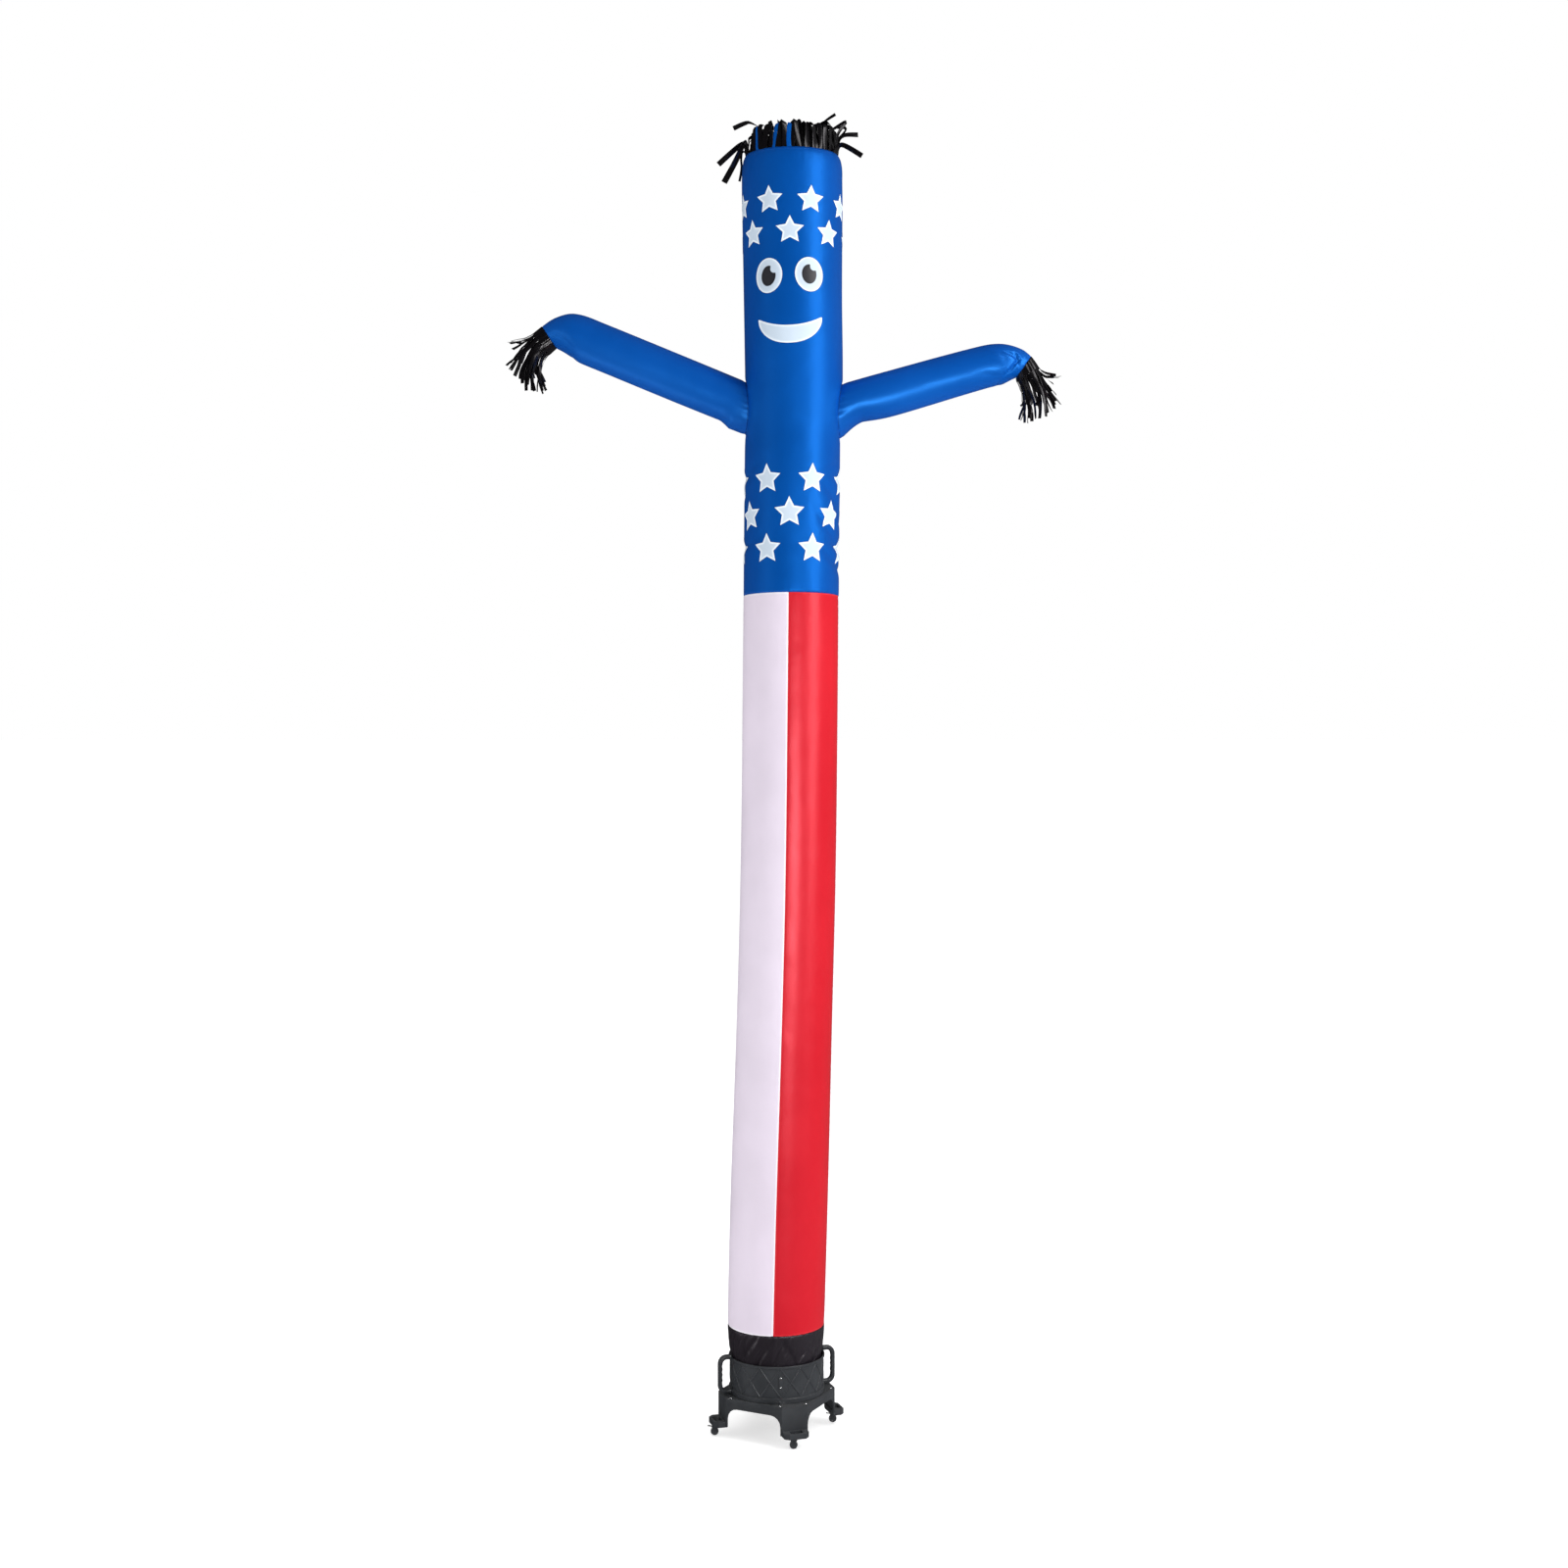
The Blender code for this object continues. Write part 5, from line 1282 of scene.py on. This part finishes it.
def cuff_relief(place, turn, along):
    depth = 0.0022 * (1 + np.sin(turn * 6 + 14 * along + 2 * np.sin(turn * 2))) * np.clip(along * 6, 0, 1)
    depth += 0.0014 * (1 + np.sin(turn * 15 - 22 * along)) - 0.0012
    return depth, np.zeros(len(turn))


strip_cloth = cloth_finish(
    "black_strip_nylon", (0.0035, 0.0030, 0.0038), (0.004, 0.0035, 0.0045), 0.20, 0.36, (1, 0.97, 1.0), 2.6,
)
tree, given, close = geometry_tree("cut strips", {
    "Samples": 16, "Thickness": 0.03, "Camber": 0.10,
})
strip_tree = tree
run = put(tree, "GeometryNodeMeshToCurve", {"Mesh": given["Geometry"]})
run = put(tree, "GeometryNodeCurveSplineType", {"Curve": run}, spline_type="CATMULL_ROM")
run = put(tree, "GeometryNodeResampleCurve", {"Curve": run, "Count": given["Samples"]}, mode="COUNT")
run = put(tree, "GeometryNodeSetCurveNormal", {
    "Curve": run, "Normal": named(tree, "across", "FLOAT_VECTOR"),
}, mode="FREE")
spot = split(tree, put(tree, "GeometryNodeInputPosition"))
x, y = also(spot, "X"), also(spot, "Y")
thin = maths(tree, "MULTIPLY", y, given["Thickness"])
bowed = maths(tree, "MULTIPLY_ADD", maths(tree, "MULTIPLY", x, x), given["Camber"], thin)
lens = put(tree, "GeometryNodeSetPosition", {
    "Geometry": put(tree, "GeometryNodeCurvePrimitiveCircle", {"Resolution": 12, "Radius": 0.5}),
    "Position": combined(tree, x, bowed),
})
strip = put(tree, "GeometryNodeCurveToMesh", {
    "Curve": run, "Profile Curve": lens, "Scale": named(tree, "wide"), "Fill Caps": True,
})
close(stored(tree, strip, "UVMap", put(tree, "GeometryNodeInputPosition"), "FLOAT2", "CORNER"))


def strips(name, runs, finish, samples=16):
    """Strips along runs of (point, direction across, width)."""
    rows, edges = [], []
    for run in runs:
        edges += [(len(rows) + i, len(rows) + i + 1) for i in range(len(run) - 1)]
        rows += run
    points, across, wide = zip(*rows)
    mesh = points_mesh(f"{name}_runs", points, edges, across=across, wide=wide)
    sizes = {"Samples": samples, "Thickness": 0.035, "Camber": 0.12, "Finish": finish}
    return placed(name, grown(name, mesh, strip_tree, sizes), None)


def ahead_at(places, k):
    """The way that a run of places goes at one of them."""
    return (places[min(k + 1, len(places) - 1)] - places[max(k - 1, 0)]).normalized()


def hand_run(arm, turn, short, width, stray, inset=0.0):
    """One strip of a hand: it starts on the cuff, follows it a little, then hangs with its own kinks."""
    middle, up, along, size = cuff_axes(arm, 0.90)
    angle = abs((turn + 180) % 360 - 180)
    out, down, front = smooth(HANG, min(angle, 179.9))
    if turn > 180:
        down, front = down - 0.012, -front
    a = math.radians(turn)
    radial = up * math.cos(a) + Vector((0.0, -math.sin(a), 0.0))
    root = middle + radial * (size - inset)
    tip = Vector((out * arm["spread"] * arm["side"], -front, -down)) * short
    calm = min(1.0, 0.25 + angle / 70.0)

    def strayed(upright, most):
        way = (stray.uniform(-1, 1), stray.uniform(-1, 1), stray.uniform(-upright, upright))
        return calm * Vector(way) * most

    sway, kink = strayed(0.4, 0.012), strayed(0.6, 0.0045)
    beat = stray.uniform(2.2, 3.6)
    twist = math.radians(stray.choice((-1, 1)) * stray.uniform(5, 60))
    places = []
    for k in range(10):
        t = k / 9
        s = max(0.0, (t - SET_IN) / (1 - SET_IN))
        onward = 0.013 * min(1.0, t / SET_IN) + 0.075 * calm * 2 * s * (1 - s)
        p = root + along * onward + tip * s * (0.25 + 0.75 * s)
        places.append(p + sway * math.sin(math.pi * s) + kink * math.sin(beat * math.pi * s))
    run = []
    for k, p in enumerate(places):
        ahead = ahead_at(places, k)
        flat_way = ahead.cross(radial)
        flat_way = flat_way.normalized() if flat_way.length > 1e-4 else Vector((0, 1, 0))
        flat_way = Matrix.Rotation(twist * (k / 9) ** 1.3, 3, ahead) @ flat_way
        run.append((p, flat_way, width * (1.0 + 0.12 * math.sin(3.1 * k + beat))))
    return run


for arm, seed in zip(ARMS, (5, 9)):
    spine = []
    for k in range(CUFF_STEPS + 1):
        middle, up, along, size = cuff_axes(arm, k / CUFF_STEPS)
        spine.append((middle, size, k / CUFF_STEPS * CUFF_LONG, up, (0.0, -float(arm["side"]), 0.0)))
    cuff = inflated(
        f"black_cuff_{arm['name']}", spine,
        {"Columns": 84, "Start": math.pi, "Round": CUFF_ROUND, "Finish": strip_cloth},
        cuff_relief,
    )
    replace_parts(cuff, f"cuff_{arm['name']}")
    stray = random.Random(seed)
    runs = []
    for k in range(OUTER_STRIPS):
        turn = 360.0 / OUTER_STRIPS * k + stray.uniform(-5, 5)
        runs.append(hand_run(arm, turn, stray.uniform(0.90, 1.02), stray.uniform(0.0145, 0.0185), stray))
    for k in range(INNER_STRIPS):
        turn, short = stray.uniform(15, 215), stray.uniform(0.58, 0.95)
        width, inset = stray.uniform(0.012, 0.018), stray.uniform(0.002, 0.016)
        runs.append(hand_run(arm, turn, short, width, stray, inset))
    hand = strips(f"hand_strips_{arm['name']}", runs, strip_cloth)
    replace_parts(hand, f"tassel_{arm['name']}")
    finish_sheet(cuff, flat=(0.40, 0.055), held="gathered", with_pieces=[hand])


# ================================================================ hair
# A black fringe of coated nylon sewn inside the tube's open top. The rising air stands its strips
# up and folds them in over the vent, and a few blow out loose at the sides. Three are blue.
HAIR, HAIR_PHASE = 40, 1.2
INNER_HAIR = 76
BLUE_HAIR = ((-48.3, -0.006, 30), (-21.3, 0.006, -24), (-3.3, 0.004, 12))  # azimuth, shift aside, twist
BLOWN = (  # strips that blow out: azimuth of the root, twist, width, then points (across, back, height)
    (-62, -78, 0.023, (-0.074, -0.09, 6.150), (-0.120, -0.09, 6.188),
     (-0.150, -0.10, 6.184), (-0.202, -0.11, 6.158)),
    (-86, 84, 0.026, (-0.150, -0.02, 6.110), (-0.176, -0.03, 6.096),
     (-0.222, -0.04, 6.054), (-0.274, -0.05, 6.004)),
    (-78, -80, 0.029, (-0.156, -0.07, 6.090), (-0.180, -0.08, 6.034),
     (-0.212, -0.09, 5.972), (-0.246, -0.10, 5.908)),
    (-72, 62, 0.020, (-0.150, -0.09, 6.105), (-0.168, -0.11, 6.070),
     (-0.190, -0.12, 6.020), (-0.212, -0.12, 5.975)),
    (-100, 70, 0.012, (-0.158, 0.03, 6.085), (-0.168, 0.03, 6.050),
     (-0.166, 0.02, 6.000), (-0.176, 0.02, 5.940)),
    (64, 84, 0.017, (0.200, -0.10, 6.160), (0.212, -0.10, 6.180),
     (0.240, -0.11, 6.201), (0.276, -0.12, 6.222)),
    (76, -74, 0.017, (0.288, -0.06, 6.140), (0.326, -0.06, 6.200),
     (0.322, -0.06, 6.204), (0.268, -0.07, 6.166)),
    (84, 80, 0.015, (0.284, -0.02, 6.120), (0.318, -0.02, 6.160),
     (0.326, -0.02, 6.182), (0.286, -0.02, 6.186)),
    (90, 86, 0.024, (0.292, 0.00, 6.120), (0.308, 0.00, 6.146), (0.338, 0.01, 6.158), (0.386, 0.02, 6.160)),
    (80, -82, 0.025, (0.290, -0.04, 6.088), (0.308, -0.05, 6.096),
     (0.344, -0.06, 6.078), (0.402, -0.07, 6.040)),
    (138, 70, 0.022, (0.245, 0.19, 6.125), (0.258, 0.21, 6.140), (0.275, 0.23, 6.150), (0.290, 0.25, 6.160)),
    (-150, 75, 0.022, (-0.050, 0.21, 6.110), (-0.060, 0.23, 6.130),
     (-0.072, 0.245, 6.120), (-0.080, 0.26, 6.085)),
    (174, -70, 0.022, (0.090, 0.23, 6.130), (0.095, 0.24, 6.155), (0.098, 0.25, 6.170), (0.100, 0.27, 6.180)),
)
rim_lean, rim_radius = TUBE[-1][1:]
rim_middle = Vector((rim_lean, 0.0, TUBE_TOP + 0.010))


def hair_run(places, beside, twist, width):
    """A strip through its places, turned more and more from the way it was sewn on."""
    run = []
    for k, p in enumerate(places):
        ahead = ahead_at(places, k)
        way = (beside - ahead * beside.dot(ahead)).normalized()
        way = Matrix.Rotation(math.radians(twist) * (k / (len(places) - 1)) ** 0.8, 3, ahead) @ way
        run.append((p, way, width))
    return run


def standing(azimuth, rise, lean, fold_in, shift, width, inset, twist):
    """A strip that stands up on the rising air and folds in over the vent."""
    out, beside = direction(azimuth), direction(azimuth + 90)
    root = rim_middle + out * (rim_radius - 0.0022 - inset)
    shape = (  # outward from the root, up from it
        (0, -0.022), (0, 0), (-0.45 * lean, 0.33 * rise), (-0.8 * lean, 0.62 * rise), (-lean, 0.87 * rise),
        (-lean - 0.16 * fold_in, 0.98 * rise), (-lean - 0.4 * fold_in, rise - 0.002),
        (-lean - 0.7 * fold_in, rise - 0.012), (-lean - fold_in, rise - 0.034),
    )
    places = []
    for k, (r, z) in enumerate(shape):
        t = k / (len(shape) - 1)
        over = shift * t**1.5 + 0.004 * math.sin(6.0 * t + azimuth)
        places.append(root + out * r + beside * over + Vector((0, 0, z)))
    return hair_run(places, beside, twist, width)


def nearest(azimuth, others):
    """The angle from an azimuth to the nearest of the others."""
    return min(abs((azimuth - other + 180) % 360 - 180) for other in others)


def bent(azimuth, most):
    """How much lower the strips on the left stand, where the wind bends them."""
    return most * max(0.0, -math.sin(math.radians(azimuth)) - 0.35) / 0.65


stray = random.Random(7)
runs = []
for k in range(HAIR):
    azimuth = HAIR_PHASE + 360.0 / HAIR * k
    if nearest(azimuth, [row[0] for row in BLOWN]) < 180.0 / HAIR:
        continue
    rise = 0.117 + 0.008 * (1 - math.cos(math.radians(azimuth))) - bent(azimuth, 0.030)
    rise += 0.012 * stray.uniform(-1, 1)
    runs.append(standing(
        azimuth + stray.uniform(-2, 2), rise, stray.uniform(-0.002, 0.012), stray.uniform(0.05, 0.085),
        stray.uniform(-0.026, 0.026), stray.uniform(0.018, 0.031), 0.0, stray.uniform(-70, 70),
    ))
for k in range(INNER_HAIR):
    azimuth = 360.0 / INNER_HAIR * k + stray.uniform(-3, 3)
    if nearest(azimuth, [row[0] for row in BLUE_HAIR]) < 4.0:
        continue
    rise = stray.uniform(0.085, 0.130) - bent(azimuth, 0.026)
    runs.append(standing(
        azimuth, rise, stray.uniform(0.002, 0.03), stray.uniform(0.04, 0.10), stray.uniform(-0.035, 0.035),
        stray.uniform(0.013, 0.027), stray.uniform(0.003, 0.014), stray.uniform(-95, 95),
    ))
for azimuth, twist, width, *through in BLOWN:
    root = rim_middle + direction(azimuth) * (rim_radius - 0.003)
    places = [root - Vector((0, 0, 0.02)), root, *[Vector(p) for p in through]]
    runs.append(hair_run(places, direction(azimuth + 90), twist, width))
hair = strips("hair_strips", runs, strip_cloth, 22)
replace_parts(hair, "hair_fringe")
runs = [standing(a, 0.104, 0.008, 0.03, shift, 0.0205, -0.0012, twist) for a, shift, twist in BLUE_HAIR]
slivers = strips("blue_strips", runs, blue_cloth, 20)
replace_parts(slivers, "hair_ribbons")
